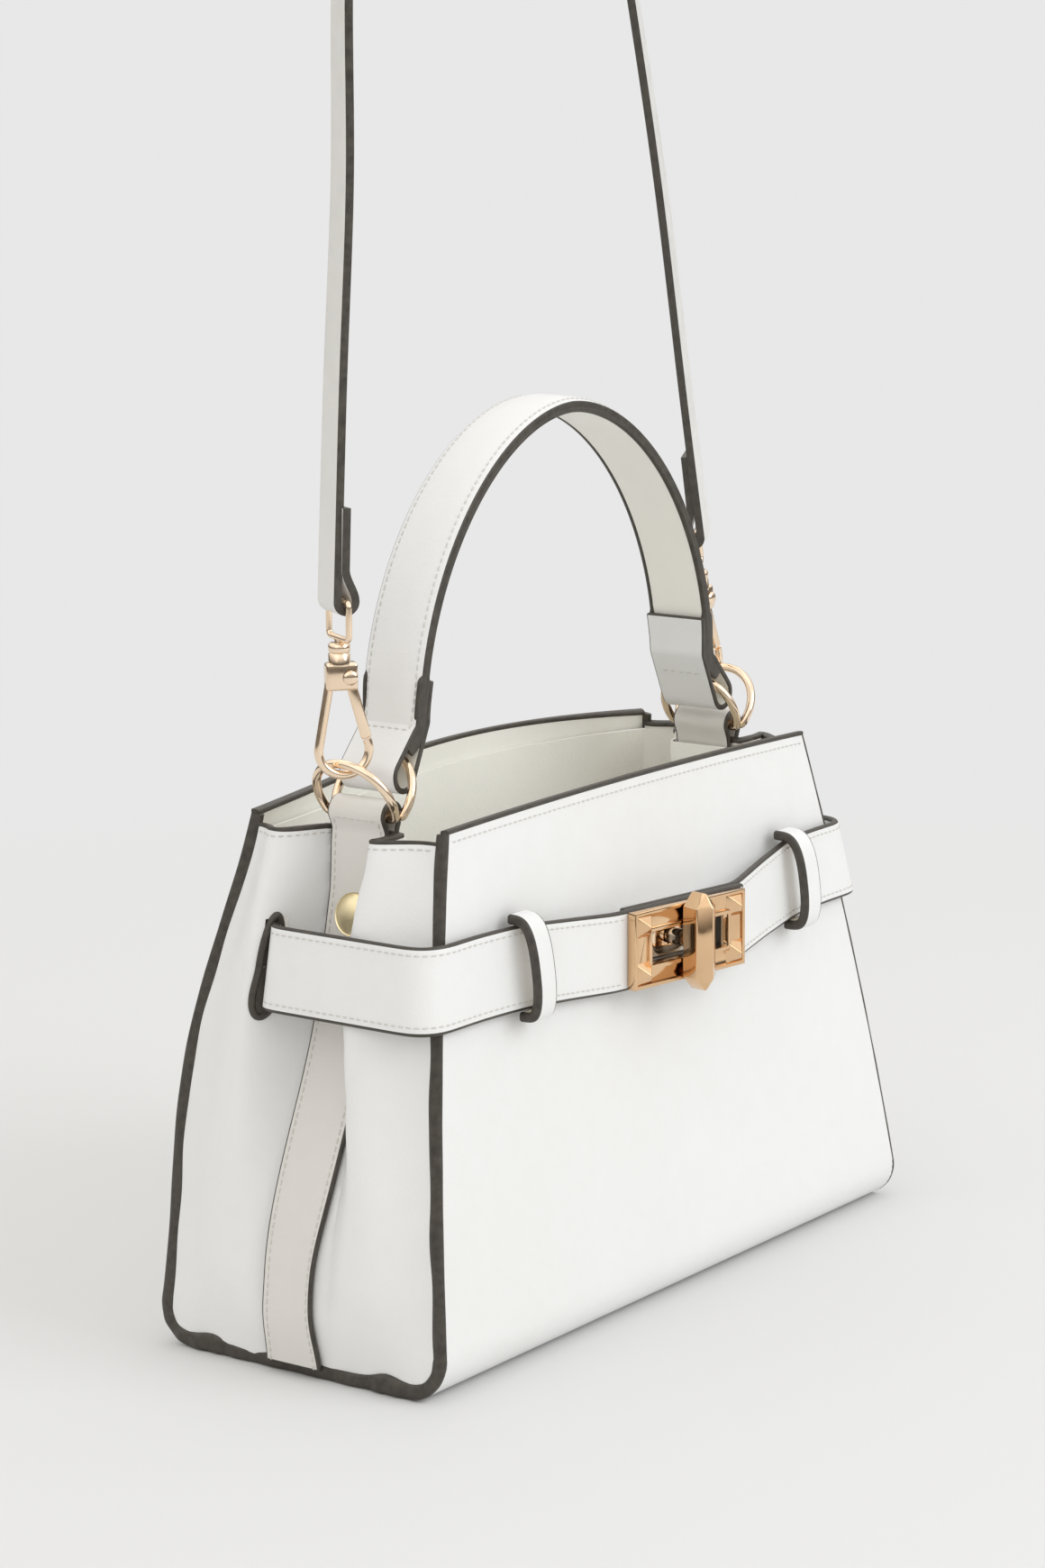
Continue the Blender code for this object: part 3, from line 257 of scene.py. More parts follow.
def edge_paint():
    """Dark taupe edge paint, laid on by hand: a little uneven, half glossy."""
    paint = Finish("edge_paint", 0.42)
    streaks = paint.noise(420, 3)
    tone = paint.span(streaks, 0.3, 0.7)
    paint.wear(
        base_color=paint.mix(tone, (0.040, 0.034, 0.027), (0.070, 0.060, 0.048)),
        roughness=paint.span(streaks, 0.3, 0.7, 0.34, 0.52),
        normal=paint.bump(paint.noise(300, 2), 0.00025, 0.5),
    )
    return paint.material


white_leather = leather("white_leather", (0.87, 0.872, 0.875), (0.835, 0.835, 0.825))
# Painted light: the inner faces are cream, but coloured lighter than the leather's own cream to stand in for
# light reaching inside the bag.
cream_leather_painted_light = leather("cream_leather_inside", (0.97, 0.96, 0.905), (0.94, 0.93, 0.87), 0.5)
dark_edge = edge_paint()


def apply_modifiers(obj):
    bpy.ops.object.select_all(action="DESELECT")
    obj.select_set(True)
    bpy.context.view_layer.objects.active = obj
    for modifier in list(obj.modifiers):
        bpy.ops.object.modifier_apply(modifier=modifier.name)


def thicken(obj, thickness, offset):
    solid = obj.modifiers.new("thickness", "SOLIDIFY")
    solid.thickness = thickness
    solid.offset = offset
    return solid


def lerp(a, b, share):
    return a + (b - a) * share


def smooth(share):
    share = min(max(share, 0.0), 1.0)
    return share * share * (3 - 2 * share)


def leather_sheet(
    name, grid, place, thickness, body, faces=(white_leather, white_leather), side=-1.0, rounding=0.3
):
    """A sheet cut from a grid, formed by place(u, v) and thickened, with rounded painted edges."""
    columns, rows = grid
    obj = fresh(name, bpy.ops.mesh.primitive_grid_add, x_subdivisions=columns, y_subdivisions=rows, size=2)
    for vert in obj.data.vertices:
        vert.co = place((vert.co.x + 1) / 2, (vert.co.y + 1) / 2)
    for material in (*faces, dark_edge):
        obj.data.materials.append(material)
    solid = thicken(obj, thickness, side)
    solid.material_offset = 1
    solid.material_offset_rim = 2
    bevel = obj.modifiers.new("edges", "BEVEL")
    bevel.width = thickness * rounding
    bevel.segments = 3
    bevel.limit_method = "ANGLE"
    bevel.angle_limit = math.radians(55)
    bevel.material = 2
    apply_modifiers(obj)
    bpy.ops.object.shade_smooth_by_angle(angle=math.radians(35))
    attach(obj, body)
    return obj


# Grey thread, darkened a little beyond its own tone: partly painted shade, for the small shadows the stitches
# sit in.
thread = Finish("waxed_thread", 0.6)
thread_twist = thread.node(
    "ShaderNodeTexWave",
    {"wave_type": "BANDS", "bands_direction": "DIAGONAL"},
    {"Vector": thread.place, "Scale": 900, "Distortion": 1.0},
)
thread.wear(
    base_color=thread.mix(thread_twist, (0.60, 0.58, 0.54), (0.74, 0.73, 0.695)),
    normal=thread.bump(thread_twist, 0.00006, 0.6),
)
stitch_pitch = 0.0024
stitch_length = 0.0018
stitch_half_width = 0.00026
stitch_proud = 0.0001


def runs(points):
    """The length of a line up to each of its points."""
    run = [0.0]
    for a, b in zip(points, points[1:]):
        run.append(run[-1] + math.dist(a, b))
    return run


def spots(run, wanted):
    """The index, and the share of the way to the next, of each wanted length along a line."""
    found = []
    i = 0
    for length in wanted:
        while i < len(run) - 2 and run[i + 1] < length:
            i += 1
        found.append((i, (length - run[i]) / max(run[i + 1] - run[i], 1e-9)))
    return found


def frame_of(x, y, z, origin):
    """The matrix of three axes at an origin."""
    matrix = Matrix((x, y, z)).transposed().to_4x4()
    matrix.translation = origin
    return matrix


def stitch_row(name, place, lines, body):
    """Rows of stitches on a surface. Each line maps 0..1 to the surface's own (u, v)."""
    frames = []
    step = 0.002
    size = Matrix.Diagonal((stitch_length / 2, stitch_half_width, stitch_half_width * 0.9, 1))
    for line in lines:
        run = runs([place(*line(i / 400)) for i in range(401)])
        count = int(run[-1] / stitch_pitch)
        for i, share in spots(run, [(k + 0.5) * run[-1] / count for k in range(count)]):
            t = min(max((i + share) / 400, step), 1 - step)
            u, v = line(t)
            x = (place(*line(t + step)) - place(*line(t - step))).normalized()
            across_u = place(min(u + step, 1.0), v) - place(max(u - step, 0.0), v)
            across_v = place(u, min(v + step, 1.0)) - place(u, max(v - step, 0.0))
            normal = across_u.cross(across_v).normalized()
            y = normal.cross(x).normalized()
            frames.append(frame_of(x, y, normal, place(u, v) + normal * stitch_proud) @ size)
    row = fresh(name, bpy.ops.mesh.primitive_uv_sphere_add, segments=8, ring_count=6, radius=1.0)
    copies = [row]
    for frame_matrix in frames[1:]:
        copy = row.copy()
        copy.data = row.data.copy()
        copy.data.transform(frame_matrix)
        bpy.context.collection.objects.link(copy)
        copies.append(copy)
    row.data.transform(frames[0])
    for copy in copies:
        copy.select_set(True)
    bpy.context.view_layer.objects.active = row
    bpy.ops.object.join()
    bpy.ops.object.shade_smooth()
    row.data.materials.append(thread.material)
    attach(row, body)


def side_half_width(height, top_half_width):
    share = height / body_height
    return lerp(base_half_width, top_half_width, share) + side_swell * 4 * share * (1 - share)


def wall_depth(height, inset=0.0, swell=0.0):
    start = base_fold_radius + (base_fold_radius - inset) * math.sin(wall_tilt)
    if height < start:
        drop = base_fold_radius - height
        reach = base_fold_radius - inset
        return fold_centre_depth + math.sqrt(max(reach * reach - drop * drop, 0.0))
    straight = lerp(base_half_depth, top_half_depth, height / body_height)
    rise = min((height - start) / (body_height - start), 1.0)
    return straight - inset / math.cos(wall_tilt) + swell * math.sin(math.pi * rise) ** 2


def panel_place(facing, top_half_width, swell, bow, seam_reach):
    """A panel's outer face. v runs from the seam under the base, round the fold and up to the top."""
    base_run = fold_centre_depth - seam_reach
    fold_run = base_fold_radius * (math.pi / 2 + wall_tilt)
    total = base_run + fold_run + body_height - fold_top

    def place(u, v):
        run = v * total
        across = (2 * u - 1) * -facing
        if run < base_run:
            depth, height = seam_reach + run, 0.0
        elif run < base_run + fold_run:
            angle = (run - base_run) / base_fold_radius - math.pi / 2
            depth = fold_centre_depth + base_fold_radius * math.cos(angle)
            height = base_fold_radius * (1 + math.sin(angle))
        else:
            height = min(fold_top + run - base_run - fold_run, body_height)
            depth = wall_depth(height, 0.0, swell)
        share = height / body_height
        crown = 1 - across * across
        depth += bow * crown * (1 + back_bow_skew * across) * share * share
        depth += panel_ripple * crown * math.sin(math.pi * share) * math.sin(5.1 * across + 9 * share)
        top = top_edge_rise * crown * share**4
        half_width = side_half_width(height, top_half_width)
        return Vector((across * half_width, facing * depth, height + top))

    return place


front_place = panel_place(-1, front_top_half_width, 0, 0, -base_seam_depth)
back_place = panel_place(1, back_top_half_width, back_swell, back_bow, base_seam_depth + sheet_gap)
front = leather_sheet("front_leather", (70, 110), front_place, panel_thickness, "bag")
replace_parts(front, "front_panel")
stitch_row("front_stitches", front_place, [lambda t: (lerp(0.012, 0.988, t), top_seam)], "bag")
lined = (white_leather, cream_leather_painted_light)
back = leather_sheet("back_leather", (70, 100), back_place, panel_thickness, "bag", lined)
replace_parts(back, "back_panel")


# Gussets: each is folded inward down its middle, so it shows as two puffed lobes with a sunk flat floor
# between them, and its rear half is slotted for the belt. Its top edge is sewn and painted.
gusset_thickness = 0.002
gusset_low = panel_thickness + sheet_gap
gusset_high = body_height - 0.0035
gusset_seam_gap = 0.0005
tab_width = 0.020
valley_half_width = tab_width / 2 + 0.0012
lobe_puff = 0.0062
lobe_lean = 0.0056
front_flank_run = 0.0034
back_flank_run = 0.0130
low_flank_run = 0.016
front_lobe_sharpness = 0.5
back_lobe_sharpness = 0.75
fold_low_height = 0.030
fold_low_reach = 0.0035
fold_high_reach = -0.0106
fold_rise = 0.075
fold_start = 0.020
fold_relief = 0.0032
fold_relief_height = 0.130
belt_width = 0.024
belt_side_height = 0.1135
belt_slot_depth = 0.0196
belt_slot_size = (0.024, 0.0036, belt_width + 0.0016)
belt_slot_shift = 0.0011
crease_depth = 0.0005
both_sides = ((-1, "left"), (1, "right"))


def middle_half_width(height):
    front_half = side_half_width(height, front_top_half_width)
    return (front_half + side_half_width(height, back_top_half_width)) / 2


def fold_floor(height):
    floor = lerp(fold_low_reach, fold_high_reach, smooth((height - fold_low_height) / fold_rise))
    relief = fold_relief * smooth((height - fold_relief_height) / (body_height - fold_relief_height))
    return floor * smooth(height / fold_start) + relief


def floor_x(height):
    return middle_half_width(height) + fold_floor(height)


def gusset_place(side):
    def place(u, v):
        across = side * (2 * u - 1)
        height = lerp(gusset_low, gusset_high, v)
        depth = wall_depth(height, panel_thickness + gusset_seam_gap, back_swell if across > 0 else 0.0)
        y = across * depth
        front_half = side_half_width(height, front_top_half_width)
        back_half = side_half_width(height, back_top_half_width)
        half_width = lerp(front_half, back_half, (across + 1) / 2)
        if abs(y) <= valley_half_width:
            return Vector((side * floor_x(height), y, height))
        run = (abs(y) - valley_half_width) / (depth - valley_half_width)
        low = smooth((0.075 - height) / 0.045)
        flank_run = back_flank_run if across > 0 else lerp(front_flank_run, low_flank_run, low)
        floor = fold_floor(height) * (1 - smooth((abs(y) - valley_half_width) / flank_run))
        sharp = back_lobe_sharpness
        if across < 0:
            sharp = lerp(front_lobe_sharpness, back_lobe_sharpness, low)
        puff = lobe_puff * math.sin(math.pi * run**sharp) ** 2 * smooth(height / fold_low_height)
        crease = crease_depth * math.sin(math.pi * run) * math.sin(height * 95 + 4 * across)
        if across < 0:
            reach = abs(y) - valley_half_width
            lean = smooth((height - 0.066) / 0.050) * (1 - 0.45 * smooth((height - 0.125) / 0.025))
            lean *= smooth(reach / flank_run) ** 2 * (1 - smooth((reach - flank_run) / 0.024))
            y += lobe_lean * lean
        return Vector((side * (half_width + floor + puff + crease), y, height))

    return place


def combine(obj, tool, operation="DIFFERENCE"):
    """Cuts or joins a finished solid with a tool, then clears the tool away."""
    boolean = obj.modifiers.new("combined", "BOOLEAN")
    boolean.operation = operation
    boolean.object = tool
    boolean.solver = "EXACT"
    apply_modifiers(obj)
    bpy.data.objects.remove(tool, do_unlink=True)


def slot_tool(size, place):
    tool = fresh("slot_tool", bpy.ops.mesh.primitive_cube_add, size=1)
    tool.data.transform(place @ Matrix.Diagonal((*size, 1)))
    tool.data.materials.append(dark_edge)
    return tool


for side, name in both_sides:
    place = gusset_place(side)
    gusset = leather_sheet(name + "_gusset_leather", (84, 84), place, gusset_thickness, "bag", lined)
    middle = (side * middle_half_width(belt_side_height), belt_slot_depth - belt_slot_shift, belt_side_height)
    combine(gusset, slot_tool(belt_slot_size, Matrix.Translation(middle)))
    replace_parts(gusset, name + "_gusset")
    stitch_row(name + "_gusset_stitches", place, [lambda t: (lerp(0.02, 0.98, t), top_seam + 0.001)], "bag")


# Seam edges: panel and gusset edges are bound together, trimmed and painted, and show as a dark rounded
# bead that runs down the front, round the base corner, along the base and up the back on each side.
bead_width = 0.0043
bead_rise = 0.0011
bead_top_gap = 0.0008
corner_fold_place = 0.031
corner_fold_reach = 0.005


def blunt(value, power):
    """A sine or cosine pushed out towards a square."""
    return math.copysign(abs(value) ** power, value)


def mend(merge, inside=False, fill=False):
    """Merges the points of the object at hand, fills its holes if asked, and turns its faces one way."""
    bpy.ops.object.mode_set(mode="EDIT")
    bpy.ops.mesh.select_all(action="SELECT")
    bpy.ops.mesh.remove_doubles(threshold=merge)
    if fill:
        bpy.ops.mesh.fill_holes(sides=0)
        bpy.ops.mesh.select_all(action="SELECT")
    bpy.ops.mesh.normals_make_consistent(inside=inside)
    bpy.ops.object.mode_set(mode="OBJECT")


def tube_piece(name, count, place, closed, material, body=None, sides=14):
    """A tube of rings placed by place(index, angle). One that rides no body is joined to a piece later."""
    rows = count if closed else count - 1
    obj = fresh(name, bpy.ops.mesh.primitive_grid_add, x_subdivisions=sides, y_subdivisions=rows, size=2)
    for vert in obj.data.vertices:
        turn = (vert.co.x + 1) * math.pi
        index = round((vert.co.y + 1) / 2 * rows)
        vert.co = place(index % count, turn)
    mend(0.000002, fill=not closed)
    bpy.ops.object.shade_smooth_by_angle(angle=math.radians(50))
    obj.data.materials.append(material)
    if body:
        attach(obj, body)
    return obj


def seam_side(facing, swell, turns, rises):
    """(y, z, inward y, inward z) points up one panel's side edge, at shares of its fold and of its wall."""
    path = []
    for share in turns:
        angle = lerp(-math.pi / 2, wall_tilt, share)
        y = fold_centre_depth + base_fold_radius * math.cos(angle)
        z = base_fold_radius * (1 + math.sin(angle))
        path.append((facing * y, z, -facing * math.cos(angle), -math.sin(angle)))
    for share in rises:
        height = lerp(fold_top, body_height - bead_top_gap, share)
        y = facing * wall_depth(height, 0.0, swell)
        path.append((y, height, -facing * math.cos(wall_tilt), -math.sin(wall_tilt)))
    return path


turns = [i / 20 for i in range(21)]
rises = [i / 90 for i in range(91)]
base = [(lerp(-fold_centre_depth, fold_centre_depth, i / 40), 0.0, 0.0, 1.0) for i in range(40)]
front_side = seam_side(-1, 0.0, turns[1:], rises[1:])
seam = [*reversed(front_side), *base, *seam_side(1, back_swell, turns[:-1], rises)]
for side, name in both_sides:

    def bead_place(index, turn):
        y, z, in_y, in_z = seam[index]
        half_width = side_half_width(z, front_top_half_width if y < 0 else back_top_half_width)
        low = smooth((0.02 - z) / 0.02)
        fold = math.exp(-(((abs(y) - corner_fold_place) / corner_fold_reach) ** 2)) if z < 0.001 else 0.0
        wobble = 0.00035 * math.sin(index * 0.9) * low + 0.00012 * math.sin(index * 0.47)
        wobble += fold * (0.0006 + 0.0007 * math.sin(index * 1.7))
        width = bead_width + 0.0003 * math.sin(index * 0.31 + side) + 0.0016 * fold
        depth = width * (blunt(math.cos(turn), 0.7) + 1) / 2 - 0.0001
        reach = half_width - 0.0006 + (bead_rise + wobble) * blunt(math.sin(turn), 0.8)
        return Vector((side * reach, y + in_y * depth, z + in_z * depth))

    tube_piece(name + "_seam_edge", len(seam), bead_place, False, dark_edge, "bag")


# Top edges: the raw top edge of each panel and gusset is built up with the same paint into a blunt lip that
# stands a little proud of the leather on both sides.
lip_over = 0.0003
lip_half_height = 0.0008
lip_steps = 90

for name, surface, thickness in (
    ("front", front_place, panel_thickness),
    ("back", back_place, panel_thickness),
    ("left", gusset_place(-1), gusset_thickness),
    ("right", gusset_place(1), gusset_thickness),
):

    def lip_place(index, turn):
        u = index / lip_steps
        top = surface(u, 1.0)
        across = surface(min(u + 0.004, 1.0), 1.0) - surface(max(u - 0.004, 0.0), 1.0)
        normal = across.cross(top - surface(u, 0.99)).normalized()
        out = (thickness / 2 + lip_over) * blunt(math.cos(turn), 0.6) - thickness / 2
        rise = lip_half_height * (blunt(math.sin(turn), 0.6) - 1) + lip_over
        return top + normal * out + Vector((0, 0, rise))

    tube_piece(name + "_top_edge", lip_steps + 1, lip_place, False, dark_edge, "bag", 16)


# Slot rims: the cut in each gusset's rear half that the belt comes out of is edge-painted, and gapes a
# little at its lower end where the belt pulls it.
slot_half_height = 0.0142
slot_rim_radius = 0.0011
slot_spread = 0.0015
slot_rim_drop = 0.0006
slot_rim_back = 0.0008
# The dark disc that stands for the shadow in the slot's opening: how far it bulges out, and how thick it is.
slot_painted_shadow_out = 0.0010
slot_painted_shadow_thickness = 0.0006
slot_steps = 72


def wire_piece(name, points, radius, closed, material, body=None, sides=14):
    """A round wire along 3-D points."""
    last = len(points) - 1
    frames = []
    normal = None
    for i, point in enumerate(points):
        if closed:
            ahead = points[(i + 1) % (last + 1)] - points[i - 1]
        else:
            ahead = points[min(i + 1, last)] - points[max(i - 1, 0)]
        tangent = ahead.normalized()
        if normal is None:
            normal = tangent.orthogonal().normalized()
        normal = (normal - tangent * normal.dot(tangent)).normalized()
        frames.append((point, normal, tangent.cross(normal)))

    def place(index, turn):
        point, side_a, side_b = frames[index]
        return point + side_a * radius * math.cos(turn) + side_b * radius * math.sin(turn)

    return tube_piece(name, len(points), place, closed, material, body, sides)


for side, name in both_sides:
    surface = gusset_place(side)
    rim = []
    for i in range(slot_steps):
        turn = 2 * math.pi * i / slot_steps
        rise = math.sin(turn)
        spread = slot_spread * (1 + smooth(-rise))
        height = belt_side_height + slot_half_height * rise - slot_rim_drop
        y = belt_slot_depth - belt_slot_shift + spread * math.cos(turn) + slot_rim_back * (1 - rise)
        depth = wall_depth(height, panel_thickness + gusset_seam_gap, back_swell)
        level = (height - gusset_low) / (gusset_high - gusset_low)
        rim.append(surface((side * y / depth + 1) / 2, level))
    wire_piece(name + "_slot_rim", rim, slot_rim_radius, True, dark_edge, "bag", 10)
    # Painted shadow: a dark disc of edge paint closes the slot round the belt, standing in for the shade
    # inside the opening.
    cap = {"vertices": slot_steps, "radius": 1, "fill_type": "TRIFAN"}
    shadow_disc = fresh(name + "_slot_painted_shadow", bpy.ops.mesh.primitive_circle_add, **cap)
    middle = sum(rim, Vector()) / slot_steps + Vector((side * slot_painted_shadow_out, 0, 0))
    for vert, point in zip(shadow_disc.data.vertices, [*rim, middle]):
        vert.co = point
    mend(0.000002)
    thicken(shadow_disc, slot_painted_shadow_thickness, 0.0)
    apply_modifiers(shadow_disc)
    shadow_disc.data.materials.append(dark_edge)
    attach(shadow_disc, "bag")


# Side tabs: a sewn strap lies down the fold of each gusset, loops over the ring bars at the top and is
# tucked down inside. A press stud goes through it near the top.
tab_thickness = 0.0018
ring_bar_height = 0.1555
ring_tunnel_radius = 0.0032
ring_bar_width = floor_x(gusset_high) - gusset_thickness / 2
tab_stack = sheet_gap + tab_thickness


def arc(centre, radius, start, end, steps):
    """(x, z) points round a centre, between two angles in degrees."""
    points = []
    for step in range(steps + 1):
        angle = math.radians(lerp(start, end, step / steps))
        points.append((centre[0] + radius * math.cos(angle), centre[1] + radius * math.sin(angle)))
    return points


def fold_offset(height, distance):
    slope = (floor_x(height + 0.004) - floor_x(height - 0.004)) / 0.008
    return floor_x(height) + distance * math.hypot(1, slope)


def along(points, t):
    """The point a share t of the way along a list of points, by index."""
    spot = min(max(t, 0.0), 1.0) * (len(points) - 1)
    i = min(int(spot), len(points) - 2)
    return [lerp(a, b, spot - i) for a, b in zip(points[i], points[i + 1])]


def even(points, count):
    """The same line with evenly spaced points."""
    run = runs(points)
    spaced = spots(run, [run[-1] * step / count for step in range(count + 1)])
    return [[lerp(a, b, share) for a, b in zip(points[i], points[i + 1])] for i, share in spaced]


def tab_line(side):
    rows = [lerp(gusset_low, gusset_high, i / 60) for i in range(61)]
    outer = [(side * fold_offset(h, tab_stack), h) for h in rows]
    start, end = (180, 0) if side < 0 else (0, 180)
    centre = (side * ring_bar_width, ring_bar_height)
    loop = arc(centre, ring_tunnel_radius + tab_thickness, start, end, 24)
    inner = [(side * fold_offset(h, -gusset_thickness - tab_stack), h) for h in reversed(rows[-12:])]
    return even(outer + loop + inner, 170)


def strap_place(line, widths, facing, dip=0.0, dip_start=0.0):
    """A strap across Y along an (x, z) line; dip presses its edges down, away from its two ends."""

    def place(u, v):
        x, z = along(line, v)
        x0, z0 = along(line, v - 0.004)
        x1, z1 = along(line, v + 0.004)
        length = math.hypot(x1 - x0, z1 - z0)
        out_x, out_z = -(z1 - z0) / length, (x1 - x0) / length
        width = along([(w,) for w in widths], v)[0]
        across = 2 * u - 1
        pressed = smooth((0.5 - abs(v - 0.5) - dip_start) / 0.03) if dip else 0.0
        lift = -dip * pressed * abs(across) ** 2.6
        out_x, out_z = facing * out_x * lift, facing * out_z * lift
        return Vector((x + out_x, (0.5 - u) * facing * width, z + out_z))

    return place


def straight(u, low, high):
    """A stitch line that runs along v at one u."""
    return lambda t: (u, lerp(low, high, t))


def cross_row(v, edge):
    """A stitch line that runs across at one v, from an edge to the other."""
    return lambda t: (lerp(edge, 1 - edge, t), v)


tab_seam_end = 0.765
tab_bow = 0.0028
tab_bow_height = 0.026
tab_bow_reach = 0.020
# Painted shade: the tabs are the same white leather, coloured darker and warmer for the shade they lie in
# down the gusset folds.
tab_leather_painted_shade = leather("tab_leather_painted_shade", (0.77, 0.75, 0.715), (0.735, 0.715, 0.68))
for side, name in both_sides:
    flat_place = strap_place(tab_line(side), [tab_width] * 2, -side)

    def place(u, v):
        point = flat_place(u, v)
        bow = tab_bow * math.exp(-(((point.z - tab_bow_height) / tab_bow_reach) ** 2)) if v < 0.5 else 0.0
        point.y += bow * max(-point.y / tab_width * 2, 0.0)
        return point

    faces = (tab_leather_painted_shade, tab_leather_painted_shade)
    tab = leather_sheet(name + "_tab_leather_painted_shade", (16, 170), place, tab_thickness, "bag", faces, rounding=0.42)
    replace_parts(tab, name + "_side_tab")
    lines = [straight(u, 0.0, tab_seam_end) for u in (0.10, 0.90)]
    stitch_row(name + "_tab_stitches", place, [*lines, cross_row(tab_seam_end, 0.13)], "bag")


# Belt: the left strap comes out of the left gusset's slot, bridges the fold, turns the corner and runs to
# the lock; the right one does the same from the other side, under the left. Both are sewn and painted.
belt_thickness = 0.0022
belt_lock_height = 0.1090
belt_side_stand_off = 0.0076
belt_front_stand_off = 0.0030
belt_corner_radius = 0.009
belt_slot_radius = 0.004
belt_tail_inset = 0.012
belt_steps = 200
belt_cut = (0.0338, 0.0106, 0.03)
belt_side_depths = (0.008, 0.0, -0.010, -0.020)
belt_front_lifts = ((0.6, 0.0), (0.3, 0.0008), (0.0, 0.0022))
belt_knee = (0.72, 0.52, 0.5)
left_belt_end = 0.0275
right_belt_end = 0.0215
keeper_place = 0.070
lock_turn = math.radians(9.0)
lock_stand_off = 0.0136
plate_reach = 0.0252
plate_thickness = 0.003
lock_face_depth = wall_depth(belt_lock_height) + lock_stand_off
left_belt_back = plate_thickness + sheet_gap
right_belt_back = left_belt_back + belt_thickness + sheet_gap


def lock_plane_y(x, stand_back):
    return -lock_face_depth + stand_back / math.cos(lock_turn) - x * math.tan(lock_turn)


def smooth_route(points, steps):
    """Points along a smooth curve through a route's own points."""
    line = []
    last = len(points) - 1
    for step in range(steps + 1):
        spot = step / steps * last
        i = min(int(spot), last - 1)
        t = spot - i
        quad = [points[max(i - 1, 0)], points[i], points[i + 1], points[min(i + 2, last)]]
        line.append([
            b + 0.5 * t * (c - a + t * (2 * a - 5 * b + 4 * c - d + t * (3 * b - a - 3 * c + d)))
            for a, b, c, d in zip(*quad)
        ])
    return line


def soft_route(points, count, passes):
    """A route with its turns eased, for a strap that can't kink."""
    line = even(points, count)
    for _ in range(passes):
        eased = [[(a + 2 * b + c) / 4 for a, b, c in zip(*trio)] for trio in zip(line, line[1:], line[2:])]
        line = [line[0], *eased, line[-1]]
    return line


def belt_line(side, end, stand_back, lift):
    """(x, y, z) points of the belt's outer face at one height, from its tail to the lock."""
    height = belt_side_height + lift
    front_width = side_half_width(height, front_top_half_width)
    inner = middle_half_width(height)
    outer = inner + belt_side_stand_off
    front_y = wall_depth(height) + belt_front_stand_off
    turn, radius = belt_slot_radius, belt_corner_radius
    points = [(inner - belt_tail_inset, belt_slot_depth), (outer - turn - 0.006, belt_slot_depth)]
    points += arc((outer - turn, belt_slot_depth - turn), turn, 90, 0, 8)
    points += [(outer, y) for y in belt_side_depths]
    points += arc((outer - radius, radius - front_y), radius, 0, -90, 10)
    for share, lift_off in belt_front_lifts:
        points.append((lerp(keeper_place, front_width, share), -front_y - lift_off))
    points = [(side * x, y, height) for x, y in points]
    low = belt_lock_height + lift
    plane = lock_plane_y(side * left_belt_end, stand_back)
    knee_x, knee_y, knee_z = belt_knee
    points.append((side * keeper_place * knee_x, lerp(-front_y, plane, knee_y), lerp(height, low, knee_z)))
    for share in (0.0, 0.25, 0.5, 0.75, 1.0):
        x = lerp(side * left_belt_end, end, share)
        points.append((x, lock_plane_y(x, stand_back), low))
    return soft_route(points, belt_steps, 14)


def belt_place(side, end, stand_back):
    """u runs along the belt, v up it."""
    low = belt_line(side, end, stand_back, -belt_width / 2)
    high = belt_line(side, end, stand_back, belt_width / 2)

    def place(u, v):
        t = u if side < 0 else 1 - u
        return Vector([lerp(p, q, v) for p, q in zip(along(low, t), along(high, t))])

    return place


lock_across = (math.cos(lock_turn), -math.sin(lock_turn), 0)
lock_out = (-math.sin(lock_turn), -math.cos(lock_turn), 0)
lock_frame = frame_of(lock_across, (0, 0, 1), lock_out, (0, -lock_face_depth, belt_lock_height))
for side, name, end, back in (
    (-1, "left", left_belt_end, left_belt_back),
    (1, "right", -right_belt_end, right_belt_back),
):
    place = belt_place(side, end, back)
    grid = (belt_steps, 10)
    belt = leather_sheet(name + "_belt_leather", grid, place, belt_thickness, "bag", rounding=0.42)
    combine(belt, slot_tool(belt_cut, lock_frame))
    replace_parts(belt, name + "_belt_strap")
    edge_run = [abs(point[0]) for point in belt_line(side, end, back, 0.0)]
    last = next(i for i in range(100, belt_steps + 1) if edge_run[i] < plate_reach) / belt_steps
    near, far = (0.09, last) if side < 0 else (1 - last, 0.91)
    lines = [lambda t: (lerp(near, far, t), 0.10), lambda t: (lerp(near, far, t), 0.90)]
    stitch_row(name + "_belt_stitches", place, lines, "bag")


# Keepers: a narrow leather loop sewn flat to the front above and below each belt strap. Its inner face is
# painted a darker beige: painted shade, for the shade between the keeper and the belt.
keeper_width = 0.0085
keeper_rise = 0.0072
keeper_overlap = 0.0030
keeper_thickness = 0.0030
keeper_sewn_lift = sheet_gap + 0.0026
keeper_top_lift = keeper_rise + 0.0026
# Painted shade: a darker beige on the keeper's inner face, for the shade between the keeper and the belt.
keeper_inside_painted_shade = leather("keeper_inside_leather_painted_shade", (0.66, 0.60, 0.50), (0.60, 0.545, 0.45), 0.6, 0.6)

for side, name in both_sides:

    def keeper_surface(u, v):
        reach = belt_width / 2 + sheet_gap + keeper_overlap
        angle = math.pi * (v - 0.5)
        height = belt_side_height + blunt(math.sin(angle), 0.8) * reach
        ramp = abs(math.cos(angle)) ** 0.5
        depth = wall_depth(height) + keeper_sewn_lift + (keeper_top_lift + 0.0006 * side) * ramp
        return Vector((side * keeper_place + (u - 0.5) * keeper_width, -depth, height))

    faces = (white_leather, keeper_inside_painted_shade)
    keeper = leather_sheet(name + "_keeper_leather", (8, 60), keeper_surface, keeper_thickness, "bag", faces)
    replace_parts(keeper, name + "_keeper")


